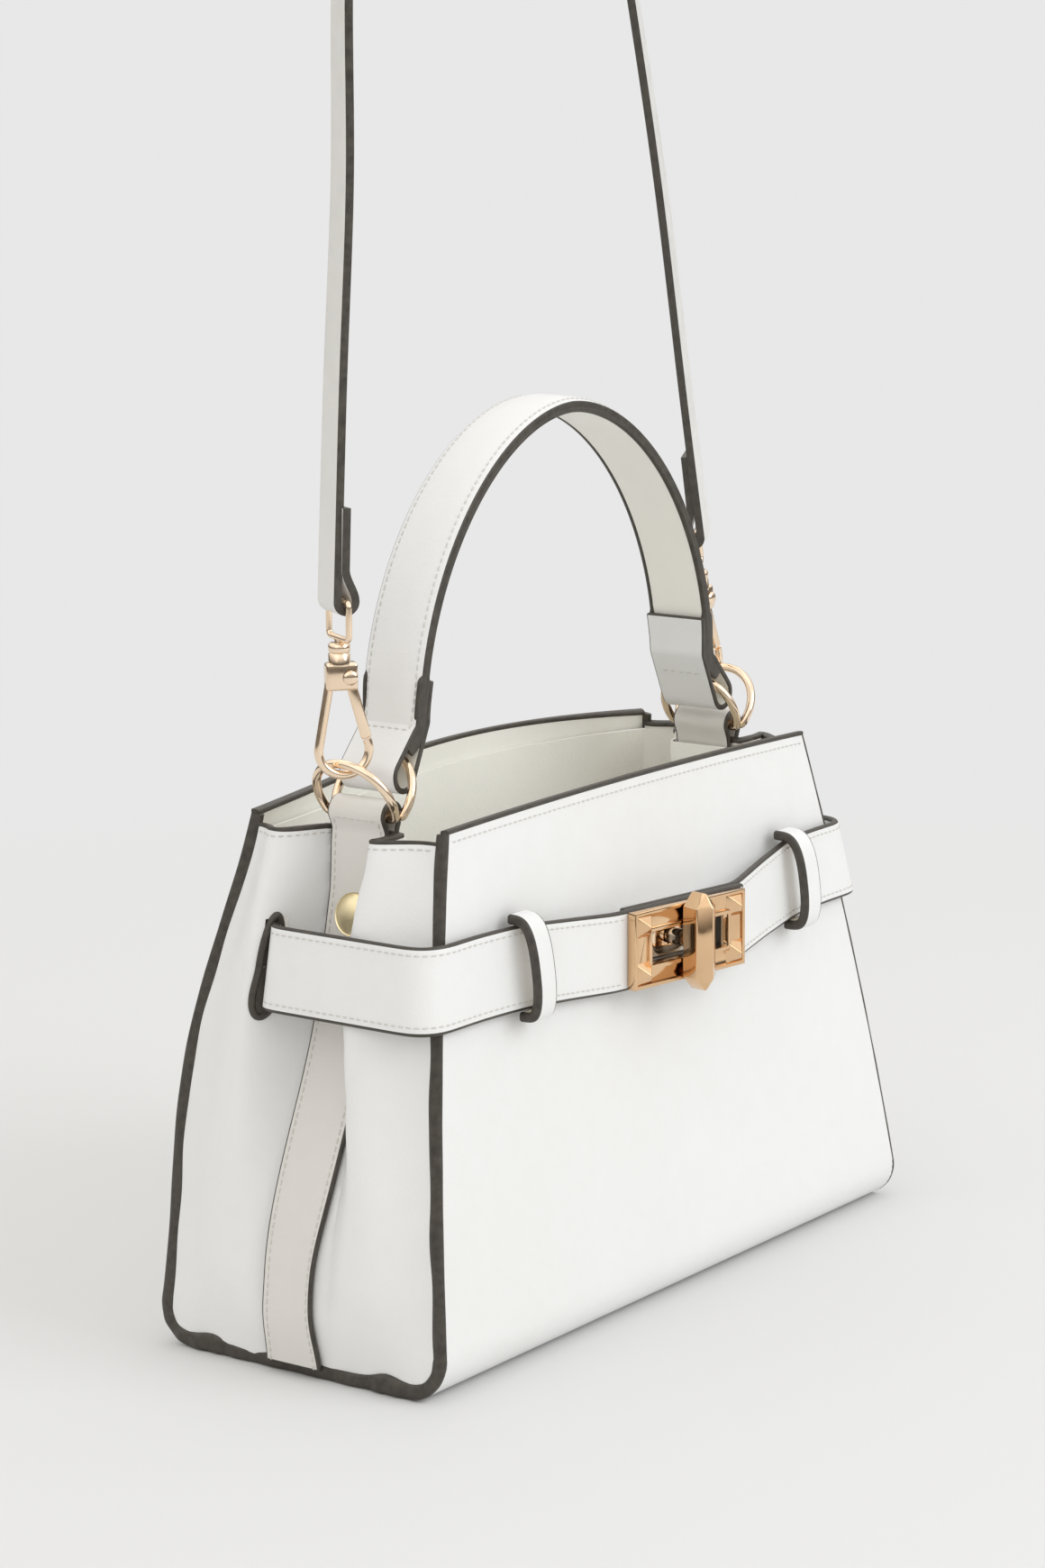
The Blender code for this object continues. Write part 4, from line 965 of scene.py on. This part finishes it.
# D-rings: two in each tab's loop, the outer one for the shoulder strap and the inner one for the handle.
# Each is bent from round wire, with a straight bar in the loop, and plated in light rose gold.
ring_wire_radius = 0.0013
ring_clearance = 0.0004
ring_half_bar = tab_width / 2 + ring_clearance + ring_wire_radius
ring_reach = 0.0185
ring_corner = 0.0016
ring_radius = (ring_half_bar**2 + ring_reach**2) / (2 * ring_reach)
ring_centre = ring_reach - ring_radius
ring_spread = 0.0015
outer_ring_lean = 30.0
inner_ring_lean = -27.0


def plating(name, colour, deep, roughness):
    metal = Finish(name, roughness, 1.0)
    haze = metal.noise(60, 3)
    metal.wear(
        base_color=metal.mix(metal.span(haze, 0.3, 0.7), deep, colour),
        roughness=metal.span(metal.noise(240, 3), 0.3, 0.7, roughness - 0.04, roughness + 0.05),
        normal=metal.bump(metal.noise(900, 2), 0.00002, 0.3),
    )
    return metal.material


rose_gold = plating("rose_gold_plating", (0.93, 0.75, 0.57), (0.89, 0.70, 0.51), 0.12)


def ring_matrix(side, spot, lean):
    tip = math.radians(lean)
    up = Vector((side * math.sin(tip), 0, math.cos(tip)))
    bar = Vector((0, 1, 0))
    return frame_of(bar, up, bar.cross(up), (side * spot, 0, ring_bar_height))


def ring_points():
    corner_x = math.sqrt((ring_radius - ring_corner) ** 2 - (ring_corner - ring_centre) ** 2)
    meet = math.degrees(math.atan2(ring_corner - ring_centre, corner_x))
    right = arc((corner_x, ring_corner), ring_corner, -90, meet, 8)
    loop = arc((0, ring_centre), ring_radius, meet, 180 - meet, 48)
    left = arc((-corner_x, ring_corner), ring_corner, 180 - meet, 270, 8)
    return [(x, y, 0) for x, y in right[:-1] + loop + left[1:]]


for side, name in both_sides:
    for level, load, spot, lean in (
        ("outer", "strap", ring_spread, outer_ring_lean),
        ("inner", "handle", -ring_spread, inner_ring_lean),
    ):
        matrix = ring_matrix(side, ring_bar_width + spot, lean)
        points = [matrix @ Vector(point) for point in ring_points()]
        node = name + "_" + load + "_ring"
        body = name + "_" + level + "_ring"
        ring = wire_piece(node + "_wire", points, ring_wire_radius, True, rose_gold, body)
        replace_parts(ring, node)


# Top handle: a padded outer strap that wraps round its ring at each end and comes back up inside, and a
# flat inner strap. The layers are pressed together at the edges and painted as one.
handle_half_span = ring_bar_width - 0.0112
handle_spring_height = ring_bar_height + 0.0245
handle_top_height = handle_spring_height + 0.0865
handle_power = 1.85
handle_width = 0.021
handle_end_width = 0.020
handle_outer_thickness = 0.0017
handle_inner_back = 0.0034
handle_inner_thickness = 0.0012
handle_return_back = 0.0068
handle_foot = (ring_bar_width - 0.0060, ring_bar_height + 0.0110)
handle_fold_radius = 0.0036
handle_return_height = ring_bar_height + 0.0370
handle_dip = 0.0016
handle_dip_start = 0.155


def handle_arch(steps):
    power = 2 / handle_power
    points = []
    for step in range(steps + 1):
        angle = math.pi * (1 - step / steps)
        rise = (handle_top_height - handle_spring_height) * math.sin(angle) ** power
        points.append((handle_half_span * blunt(math.cos(angle), power), handle_spring_height + rise))
    return points


def line_normal(line, i):
    """The unit normal of an (x, z) line at one of its points."""
    x0, z0 = line[max(i - 1, 0)]
    x1, z1 = line[min(i + 1, len(line) - 1)]
    length = math.hypot(x1 - x0, z1 - z0)
    return -(z1 - z0) / length, (x1 - x0) / length


def offset_line(line, distance):
    moved = []
    for i, (x, z) in enumerate(line):
        out_x, out_z = line_normal(line, i)
        moved.append((x - distance * out_x, z - distance * out_z))
    return moved


def tangent_angle(point, centre, radius, side):
    dx, dz = point[0] - centre[0], point[1] - centre[1]
    return math.degrees(math.atan2(dz, dx) + side * math.acos(radius / math.hypot(dx, dz)))


def handle_outer_line():
    arch = handle_arch(72)
    centre = (-handle_foot[0], handle_foot[1])
    radius = handle_fold_radius + handle_outer_thickness
    back = offset_line(arch, handle_return_back)
    returned = [point for point in back[:20] if point[1] < handle_return_height]
    start = tangent_angle(returned[0], centre, radius, -1)
    end = tangent_angle(arch[0], centre, radius, 1)
    left = list(reversed(returned)) + arc(centre, radius, start, end - 360, 16)
    right = [(-x, z) for x, z in reversed(left)]
    return even(left + arch + right, 320)


def handle_widths(line):
    widths = []
    for _, z in line:
        share = smooth((z - handle_spring_height) / (handle_return_height - handle_spring_height))
        widths.append(lerp(handle_end_width, handle_width, share))
    return widths


handle_seam = 0.158
return_seam = 0.05
line = handle_outer_line()
place = strap_place(line, handle_widths(line), 1, handle_dip, handle_dip_start)
outer_strap = leather_sheet("handle_outer_leather", (24, 320), place, handle_outer_thickness, "handle", lined)
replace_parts(outer_strap, "handle_outer_strap", "handle_padding")
rows = [straight(u, handle_seam, 1 - handle_seam) for u in (0.10, 0.90)]
rows += [cross_row(v, 0.12) for v in (handle_seam, 1 - handle_seam)]
rows += [cross_row(v, 0.14) for v in (return_seam, 1 - return_seam)]
stitch_row("handle_stitches", place, rows, "handle")
inner_line = offset_line(handle_arch(28), handle_inner_back)[1:28]
inner_line = even(smooth_route(inner_line, 300), 200)
place = strap_place(inner_line, handle_widths(inner_line), 1)
faces = (cream_leather_painted_light, cream_leather_painted_light)
inner_strap = leather_sheet("handle_inner_leather", (12, 200), place, handle_inner_thickness, "handle", faces)
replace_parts(inner_strap, "handle_inner_strap")

band_low = ring_bar_height + 0.0185
band_half_thickness = 0.0008
band_edge_inset = 0.0009
band_depth = 0.0048
band_return_depth = 0.0060
band_top = 0.0015
band_return_top = 0.0004
band_line = even([point for point in line[20:-20] if point[1] > band_low], 220)
for y_side, name in ((-1, "front"), (1, "rear")):

    def band_place(index, turn):
        x, z = band_line[index]
        out_x, out_z = line_normal(band_line, index)
        low = 1 - smooth((z - handle_return_height + 0.0005) / 0.0025)
        taper = smooth((z - band_low) / 0.004)
        deep = lerp(band_depth, lerp(band_depth, band_return_depth, taper), low)
        top = lerp(band_top, band_return_top, low)
        drop = (top + deep) / 2 - blunt(math.sin(turn), 0.6) * (deep - top) / 2
        y = handle_widths([(x, z)])[0] / 2 - band_edge_inset
        y = y_side * y + band_half_thickness * blunt(math.cos(turn), 0.6)
        return Vector((x - out_x * drop, y, z - out_z * drop))

    name = "handle_" + name + "_edge"
    tube_piece(name, len(band_line), band_place, False, dark_edge, "handle")


# Press studs: a domed cap of yellow gold near the top of each tab. The cap, its shank through the leather
# and the backing disc inside are turned in one.
stud_height = 0.1275
stud_cap_radius = 0.0062
yellow_gold = plating("yellow_gold_plating", (0.93, 0.81, 0.53), (0.90, 0.77, 0.47), 0.34)


def turned_piece(name, profile, matrix, material, body=None, sides=40):
    """A turned shape: (radius, height) pairs, spun about the matrix's Z."""

    def place(index, turn):
        radius, height = profile[index]
        return matrix @ Vector((radius * math.cos(turn), radius * math.sin(turn), height))

    return tube_piece(name, len(profile), place, False, material, body, sides)


def on_line(line, height):
    """(point, tangent) where a side's (x, z) line passes a height on its way up."""
    for (x0, z0), (x1, z1) in zip(line, line[1:]):
        if z0 <= height < z1:
            share = (height - z0) / (z1 - z0)
            return lerp(x0, x1, share), (x1 - x0, z1 - z0)


def facing_matrix(origin, out, across):
    z = Vector(out).normalized()
    y = z.cross(Vector(across)).normalized()
    return frame_of(y.cross(z), y, z, origin)


dome = [(stud_cap_radius * math.sin(i / 8), 0.0004 + 0.0020 * math.cos(0.15 * i)) for i in range(1, 11)]
stud_profile = [
    (0.0, 0.0024), *dome, (stud_cap_radius, 0.0007), (stud_cap_radius, 0.0003), (0.0014, 0.0003),
    (0.0014, -0.0062), (0.0050, -0.0065), (0.0050, -0.0074), (0.0044, -0.0077), (0.0, -0.0077),
]
for side, name in both_sides:
    x, (dx, dz) = on_line(tab_line(side), stud_height)
    matrix = facing_matrix((x, 0, stud_height), (side * abs(dz), 0, -side * dx), (0, 1, 0))
    stud = turned_piece(name + "_stud_cap", stud_profile, matrix, yellow_gold, "bag")
    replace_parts(stud, name + "_press_stud", name + "_stud_back")


# Turn lock: a rose-gold face plate with a raised rim, four pyramid studs and a framed slot, a boss and
# backing washer on the front panel, and a ridged turn bar on a spindle. Plate and bar are a rosier gold,
# darkened further as painted reflection.
plate_width = 0.048
plate_height = 0.023
plate_rim = 0.0012
plate_recess = 0.0008
plate_slot = (0.0330, 0.0098)
plate_slot_frame = 0.0014
corner_stud_size = 0.0056
corner_stud_rise = 0.0028
corner_stud_root = 0.0012
bar_length = 0.0295
bar_width = 0.0082
bar_rise = 0.0085
bar_tip = 0.0042
bar_foot = 0.0056
bar_gap = 0.0004
# A rosier gold than the rings, darkened beyond that: a painted reflection of darker surroundings in the plate
# and the bar.
lock_gold_painted_dark_reflection = plating("rose_gold_plating_painted_dark_reflection", (0.82, 0.56, 0.34), (0.70, 0.46, 0.26), 0.10)
boss_face = -(right_belt_back + belt_thickness + 0.0004)


def metal_solid(name, kind, size, matrix, finish=rose_gold, slices=32):
    """A block or cylinder to be worked further, its vertices already in place."""
    if kind == "block":
        obj = fresh(name, bpy.ops.mesh.primitive_cube_add, size=1)
    else:
        obj = fresh(name, bpy.ops.mesh.primitive_cylinder_add, vertices=slices, radius=0.5, depth=1)
    obj.data.transform(matrix @ Matrix.Diagonal((*size, 1)))
    obj.data.materials.append(finish)
    return obj


def soften(obj, width, segments=2):
    bevel = obj.modifiers.new("softened", "BEVEL")
    bevel.width = width
    bevel.segments = segments
    bevel.limit_method = "ANGLE"
    bevel.angle_limit = math.radians(30)
    apply_modifiers(obj)
    bpy.ops.object.shade_smooth_by_angle(angle=math.radians(32))


def lock_place(x, y, z):
    return lock_frame @ Matrix.Translation((x, y, z))


def joined(main, others, body, node):
    """One piece from several, of rose gold, that takes a node's place."""
    bpy.ops.object.select_all(action="DESELECT")
    for obj in [main, *others]:
        obj.select_set(True)
    bpy.context.view_layer.objects.active = main
    if others:
        bpy.ops.object.join()
    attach(main, body)
    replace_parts(main, node)


plate_size = (plate_width, plate_height, plate_thickness)
plate = metal_solid("lock_face_plate", "block", plate_size, Matrix(), lock_gold_painted_dark_reflection)
for polygon in plate.data.polygons:
    polygon.select = polygon.normal.z > 0.5
for vert in plate.data.vertices:
    vert.select = vert.co.z > 0
for edge in plate.data.edges:
    edge.select = all(plate.data.vertices[i].co.z > 0 for i in edge.vertices)
bpy.ops.object.mode_set(mode="EDIT")
bpy.ops.mesh.inset(thickness=plate_rim, depth=0)
bpy.ops.mesh.extrude_region_move(TRANSFORM_OT_translate={"value": (0, 0, -plate_recess)})
bpy.ops.object.mode_set(mode="OBJECT")
plate.data.transform(lock_place(0, 0, -plate_thickness / 2))
border = (*[side + 2 * plate_slot_frame for side in plate_slot], plate_thickness / 2)
border_place = lock_place(0, 0, -plate_thickness / 4)
combine(plate, metal_solid("border", "block", border, border_place, lock_gold_painted_dark_reflection), "UNION")
through = (*plate_slot, 4 * plate_thickness)
combine(plate, metal_solid("through", "block", through, lock_frame, lock_gold_painted_dark_reflection))
soften(plate, 0.00022)
cone_inset = plate_rim + 0.0003 + corner_stud_size / 2
cone_height = corner_stud_rise + corner_stud_root
cone_base = corner_stud_size / math.sqrt(2) * cone_height / corner_stud_rise
cone_shift = corner_stud_rise - cone_height / 2 - 0.0002
studs = []
for right in (-1, 1):
    for up in (-1, 1):
        cone = {"vertices": 4, "radius1": cone_base, "depth": cone_height}
        stud = fresh("corner_stud", bpy.ops.mesh.primitive_cone_add, **cone)
        spot = (right * (plate_width / 2 - cone_inset), up * (plate_height / 2 - cone_inset))
        stud.data.transform(lock_place(*spot, cone_shift) @ Matrix.Rotation(math.pi / 4, 4, "Z"))
        stud.data.materials.append(lock_gold_painted_dark_reflection)
        soften(stud, 0.00016)
        studs.append(stud)
joined(plate, studs, "bag", "lock_plate")

bar = fresh("lock_turn_bar", bpy.ops.mesh.primitive_circle_add, vertices=6, radius=0.01, fill_type="NGON")
half, shoulder, tip = bar_width / 2, bar_length / 2 - bar_tip, bar_length / 2
corners = [(0, tip), (-half, shoulder), (-half, -shoulder), (0, -tip), (half, -shoulder), (half, shoulder)]
for vert, corner in zip(bar.data.vertices, corners):
    vert.co = (*corner, bar_gap)
bpy.ops.object.mode_set(mode="EDIT")
bpy.ops.mesh.select_all(action="SELECT")
for rise in (bar_foot, bar_rise - bar_foot):
    bpy.ops.mesh.extrude_region_move(TRANSFORM_OT_translate={"value": (0, 0, rise)})
bpy.ops.object.mode_set(mode="OBJECT")
for vert in bar.data.vertices:
    if vert.co.z > bar_gap + bar_foot + 0.001:
        vert.co = (0, math.copysign(shoulder, vert.co.y), bar_gap + bar_rise)
bpy.ops.object.mode_set(mode="EDIT")
bpy.ops.mesh.select_all(action="SELECT")
bpy.ops.mesh.remove_doubles(threshold=0.00001)
bpy.ops.mesh.dissolve_degenerate(threshold=0.00001)
bpy.ops.mesh.normals_make_consistent(inside=False)
bpy.ops.object.mode_set(mode="OBJECT")
bar.data.transform(lock_frame)
bar.data.materials.append(lock_gold_painted_dark_reflection)
soften(bar, 0.00035, 3)
joined(bar, [], "lock_bar", "turn_bar")

foot_top = boss_face - 0.0012
spindle = [
    (0.0, 0.0001), (0.0022, 0.0001), (0.0025, -0.0002), (0.0025, foot_top),
    (0.0042, foot_top), (0.0042, foot_top - 0.0012), (0.0, foot_top - 0.0012),
]
boss_reach = lock_face_depth - wall_depth(belt_lock_height) - 0.0006
boss_floor = boss_face - 0.0008
boss = [
    (0.0029, boss_floor), (0.0029, boss_face), (0.0070, boss_face), (0.0075, boss_face - 0.0004),
    (0.0075, -boss_reach), (0.0045, -boss_reach), (0.0045, boss_floor), (0.0029, boss_floor),
]
washer = [
    (0.0, -0.0025), (0.0096, -0.0025), (0.0100, -0.0028),
    (0.0100, -0.0033), (0.0096, -0.0035), (0.0, -0.0035),
]
wall_point = (0, -wall_depth(belt_lock_height), belt_lock_height)
wall_frame = facing_matrix(wall_point, (0, -math.cos(wall_tilt), math.sin(wall_tilt)), (1, 0, 0))
for name, profile, matrix, body, node in (
    ("lock_pin", spindle, lock_frame, "lock_bar", "lock_spindle"),
    ("lock_boss", boss, lock_frame, "bag", "lock_base"),
    ("lock_backing", washer, wall_frame, "bag", "lock_washer"),
):
    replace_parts(turned_piece(name, profile, matrix, rose_gold, body), node)


# Snap hooks: a cast body with a wire bow, a sprung gate on a rivet and a swivel eye that carries the
# strap's folded end.
hook_wire_radius = 0.0013
hook_seat = 0.0015
hook_bow_radius = 0.0072
hook_bow_offset = 0.0009
hook_nose = 22.0
hook_leg_start = (-0.0029, 0.0262)
hook_block = (0.0090, 0.0046, 0.0078)
hook_block_shift = 0.0004
hook_block_low = 0.0242
hook_block_high = 0.0320
hook_cut_width = 0.0024
hook_cut = (0.0, 0.0089, hook_block_low - 0.004, 0.0308)
gate_pivot = (0.0026, 0.0278)
gate_size = (0.0030, 0.0016)
gate_overlap = 0.0004
gate_head = (0.0046, 0.0046, 0.0016)
barrel_height = 0.0055
barrel_top = hook_block_high + barrel_height
barrel_profile = [
    (0.0, barrel_height), (0.0016, barrel_height), (0.0026, barrel_height), (0.0031, barrel_height - 0.0005),
    (0.0031, 0.0032), (0.0027, 0.0028), (0.0031, 0.0024), (0.0031, -0.0008), (0.0, -0.0008),
]
rivet_half = [(0.0, 0.0034), (0.0012, 0.0033), (0.0019, 0.0030), (0.0021, 0.0027), (0.0010, 0.0027)]
rivet_profile = rivet_half + [(radius, -height) for radius, height in reversed(rivet_half)]
eye_wire_radius = 0.0009
eye_low = barrel_top + 0.0004 + eye_wire_radius
eye_high = eye_low + 0.0090 + 2 * eye_wire_radius
eye_half = 0.0124 / 2 + eye_wire_radius
eye_corner = 0.0016
shank_width = 0.0026
shank_depth = 0.0045


def hook_matrix(side, slide, tilt, plane, clearance):
    """A hook's frame where its bow hangs on its ring, slid and tilted by angles in degrees."""
    ring = ring_matrix(side, ring_bar_width + ring_spread, outer_ring_lean)
    angle = math.radians(slide)
    spot = Vector((ring_radius * math.sin(angle), ring_centre + ring_radius * math.cos(angle), 0))
    lean = Matrix.Rotation(math.radians(tilt), 4, "Y") @ Matrix.Rotation(math.radians(plane), 4, "Z")
    drop = ring_wire_radius + hook_seat + clearance
    return Matrix.Translation(ring @ spot) @ lean @ Matrix.Translation((0, 0, -drop))


left_hook = hook_matrix(-1, slide=0.0, tilt=0.0, plane=-40.0, clearance=0.0004)
right_hook = hook_matrix(1, slide=33.0, tilt=-8.0, plane=0.0, clearance=0.0014)
for name, frame_matrix in (("left", left_hook), ("right", right_hook)):

    def at(x, z):
        return frame_matrix @ Matrix.Translation((x, 0, z))

    bow = arc((hook_bow_offset, hook_bow_radius), hook_bow_radius, 180, 360 + hook_nose, 40)
    leg = [[lerp(a, b, i / 8) for a, b in zip(hook_leg_start, bow[0])] for i in range(8)]
    points = [frame_matrix @ Vector((x, 0, z)) for x, z in leg + bow]
    wire = wire_piece(name + "_bow", points, hook_wire_radius, False, rose_gold)
    block_place = at(hook_block_shift, (hook_block_low + hook_block_high) / 2)
    body = metal_solid(name + "_hook_body", "block", hook_block, block_place)
    soften(body, 0.0009, 3)
    left_x, right_x, low, high = hook_cut
    cut_size = (right_x - left_x, hook_cut_width, high - low)
    combine(body, metal_solid("cut", "block", cut_size, at((left_x + right_x) / 2, (low + high) / 2)))
    bpy.ops.object.shade_smooth_by_angle(angle=math.radians(32))
    barrel = turned_piece(name + "_barrel", barrel_profile, at(0, hook_block_high), rose_gold, sides=32)
    joined(body, [wire, barrel], name + "_snap", name + "_hook")

    pivot = at(*gate_pivot) @ Matrix.Rotation(-math.pi / 2, 4, "X")
    pin = turned_piece(name + "_rivet", rivet_profile, pivot, rose_gold, name + "_snap", 28)
    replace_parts(pin, name + "_gate_rivet")

    nose = math.radians(hook_nose)
    tip_x = hook_bow_offset + hook_bow_radius * math.cos(nose) - gate_overlap * math.sin(nose)
    tip_z = hook_bow_radius + hook_bow_radius * math.sin(nose) + gate_overlap * math.cos(nose)
    lean = Vector((gate_pivot[0] - tip_x, 0, gate_pivot[1] - tip_z))
    bar_frame = frame_matrix @ facing_matrix((tip_x, 0, tip_z), lean, (1, 0, 0))
    bar_frame = bar_frame @ Matrix.Translation((0, 0, lean.length / 2))
    gate = metal_solid(name + "_gate_bar", "block", (*gate_size, lean.length), bar_frame)
    soften(gate, 0.0005, 3)
    head = metal_solid("head", "cylinder", gate_head, pivot)
    soften(head, 0.0002)
    joined(gate, [head], name + "_snap_gate", name + "_gate")


def eye_frame(hook, twist):
    turn = math.radians(twist)
    return facing_matrix(hook.translation, hook.col[2].to_3d(), (math.sin(turn), math.cos(turn), 0))


left_eye = eye_frame(left_hook, twist=29.0)
right_eye = eye_frame(right_hook, twist=66.0)
for name, frame_matrix in (("left", left_eye), ("right", right_eye)):
    line = arc((eye_half - eye_corner, eye_low + eye_corner), eye_corner, -90, 0, 8)
    line += arc((eye_half - eye_corner, eye_high - eye_corner), eye_corner, 0, 90, 8)
    line += [(-x, z) for x, z in reversed(line)]
    points = [frame_matrix @ Vector((x, 0, z)) for x, z in line]
    wire = wire_piece(name + "_eye", points, eye_wire_radius, True, rose_gold)
    shank_height = eye_low - barrel_top + shank_depth
    place = frame_matrix @ Matrix.Translation((0, 0, barrel_top - shank_depth + shank_height / 2))
    shank = metal_solid("shank", "cylinder", (shank_width, shank_width, shank_height), place, slices=24)
    soften(shank, 0.0002)
    joined(wire, [shank], "strap", name + "_strap_eye")


# Shoulder strap: a flat strap of two layers glued back to back, edge-painted all round, folded round each
# eye and sewn to itself. It is held up out of view, so it loops over just above the picture.
strap_width = 0.0115
strap_thickness = 0.0024
strap_rise = 0.285
strap_return = 0.026
strap_eye_radius = 0.0015
strap_spread = 0.0009
strap_press_rise = 0.009
strap_route = [
    (0.000, 0.000), (0.019, 0.200), (0.043, 0.400), (0.048, 0.570), (0.060, 0.720), (0.110, 0.870),
    (0.235, 0.970), (0.375, 1.000), (0.520, 0.960), (0.640, 0.860), (0.720, 0.730), (0.795, 0.570),
    (0.872, 0.380), (0.948, 0.150), (1.000, 0.000),
]


def strap_end(eye, inward):
    """The strap's end: up from its stitched tip, pressed to the strap, and round under the eye's top."""
    radius = strap_eye_radius + strap_thickness / 2
    turn = arc((0, eye_high), radius, 0, -180, 18)
    lift = []
    for i in range(24):
        rise = strap_return * (1 - i / 24)
        pressed = strap_thickness - 0.0001 - radius + strap_spread * rise / strap_return
        lift.append((lerp(radius, pressed, smooth(rise / strap_press_rise)), eye_high + rise))
    return [eye @ Vector((0, inward * y, z)) for y, z in lift + turn]


strap_start = strap_end(left_eye, -1)
strap_finish = list(reversed(strap_end(right_eye, 1)))
route = []
for across, up in strap_route:
    point = strap_start[-1].lerp(strap_finish[0], across)
    point.z += strap_rise * up
    route.append(tuple(point))
middle = [Vector(point) for point in smooth_route(route, 260)][1:-1]
centre_line = strap_start + middle + strap_finish
strap_frames = []
for i, point in enumerate(centre_line):
    share = smooth((i - len(strap_start)) / len(middle))
    across = left_eye.col[0].to_3d().lerp(right_eye.col[0].to_3d(), share)
    tangent = (centre_line[min(i + 1, len(centre_line) - 1)] - centre_line[max(i - 1, 0)]).normalized()
    strap_frames.append((point, (across - tangent * across.dot(tangent)).normalized()))


def strap_surface(u, v):
    point, across = along(strap_frames, v)
    return point + across * (u - 0.5) * strap_width


# Painted shade: the strap is the same white leather, coloured darker and warmer for the shade on its faces
# that turn away from the key.
strap_leather_painted_shade = leather("strap_leather_painted_shade", (0.80, 0.79, 0.77), (0.765, 0.755, 0.73))
grid = (8, len(strap_frames) - 1)
faces = (strap_leather_painted_shade, strap_leather_painted_shade)
strap = leather_sheet("shoulder_strap_leather", grid, strap_surface, strap_thickness, "strap", faces, 0.0)
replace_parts(strap, "shoulder_strap")


# Lining: cream cloth that follows the panels and the folded gussets inside, hung from just below the
# mouth, over the base board.
lining_low = 0.0046
lining_high = 0.149
lining_wall_inset = panel_thickness + 0.0012
lining_side_inset = 0.0034
lining_tab_inset = 0.0034
lining_thickness = 0.0007
lining_floor_share = 0.107
lining_wall_stretch = 1.12
# Painted light: the lining is cream cloth, coloured lighter than its own cream to stand in for light reaching
# inside the bag.
cream_cloth_painted_light = leather("cream_lining_cloth_painted_light", (0.985, 0.975, 0.92), (0.96, 0.95, 0.89), 0.75, 1.6)


def lining_point(share, height):
    """A point of the lining's ring at a height; share runs front, right, back, left."""
    part, t = int(share * 4) % 4, share * 4 % 1
    front_y = -wall_depth(height, lining_wall_inset)
    back_y = wall_depth(height, lining_wall_inset, back_swell)
    if part in (1, 3):
        side = 1 if part == 1 else -1
        y = lerp(front_y, back_y, t if part == 1 else 1 - t)
        depth = back_y if y > 0 else -front_y
        gusset = gusset_place(side)
        spots = (0.0, 0.003, 0.006) if y < 0 else (0.0,)
        edges = [(side * min(max((y - spot) / depth, -1), 1) + 1) / 2 for spot in spots]
        reach = min(abs(gusset(edge, height / body_height).x) for edge in edges)
        behind_tab = smooth((height - 0.09) / 0.02) * smooth((0.016 - abs(y)) / 0.005)
        inset = lining_side_inset + lining_tab_inset * behind_tab
        return Vector((side * (reach - inset), y, height))
    across = 2 * t - 1 if part == 0 else 1 - 2 * t
    top = front_top_half_width if part == 0 else back_top_half_width
    x = across * (side_half_width(height, top) - lining_side_inset)
    if part == 0:
        return Vector((x, front_y, height))
    level = height / body_height
    bow = back_bow * (1 - across * across) * (1 + back_bow_skew * across) * level * level
    return Vector((x, back_y + bow, height))


cells = {"x_subdivisions": 160, "y_subdivisions": 50, "size": 2}
lining = fresh("lining_cloth", bpy.ops.mesh.primitive_grid_add, **cells)
for vert in lining.data.vertices:
    share = (vert.co.x + 1) / 2 % 1.0
    level = (vert.co.y + 1) / 2
    height = lerp(lining_low, lining_high, max(1 - lining_wall_stretch * (1 - level), 0.0))
    point = lining_point(share, height)
    inward = min(level / lining_floor_share, 1.0)
    if inward < 1.0:
        point = Vector((point.x * inward, point.y * inward, lining_low))
    vert.co = point
mend(0.00001, inside=True)
thicken(lining, lining_thickness, -1.0)
apply_modifiers(lining)
bpy.ops.object.shade_smooth_by_angle(angle=math.radians(40))
lining.data.materials.append(cream_cloth_painted_light)
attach(lining, "bag")
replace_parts(lining, "lining", "base_board")
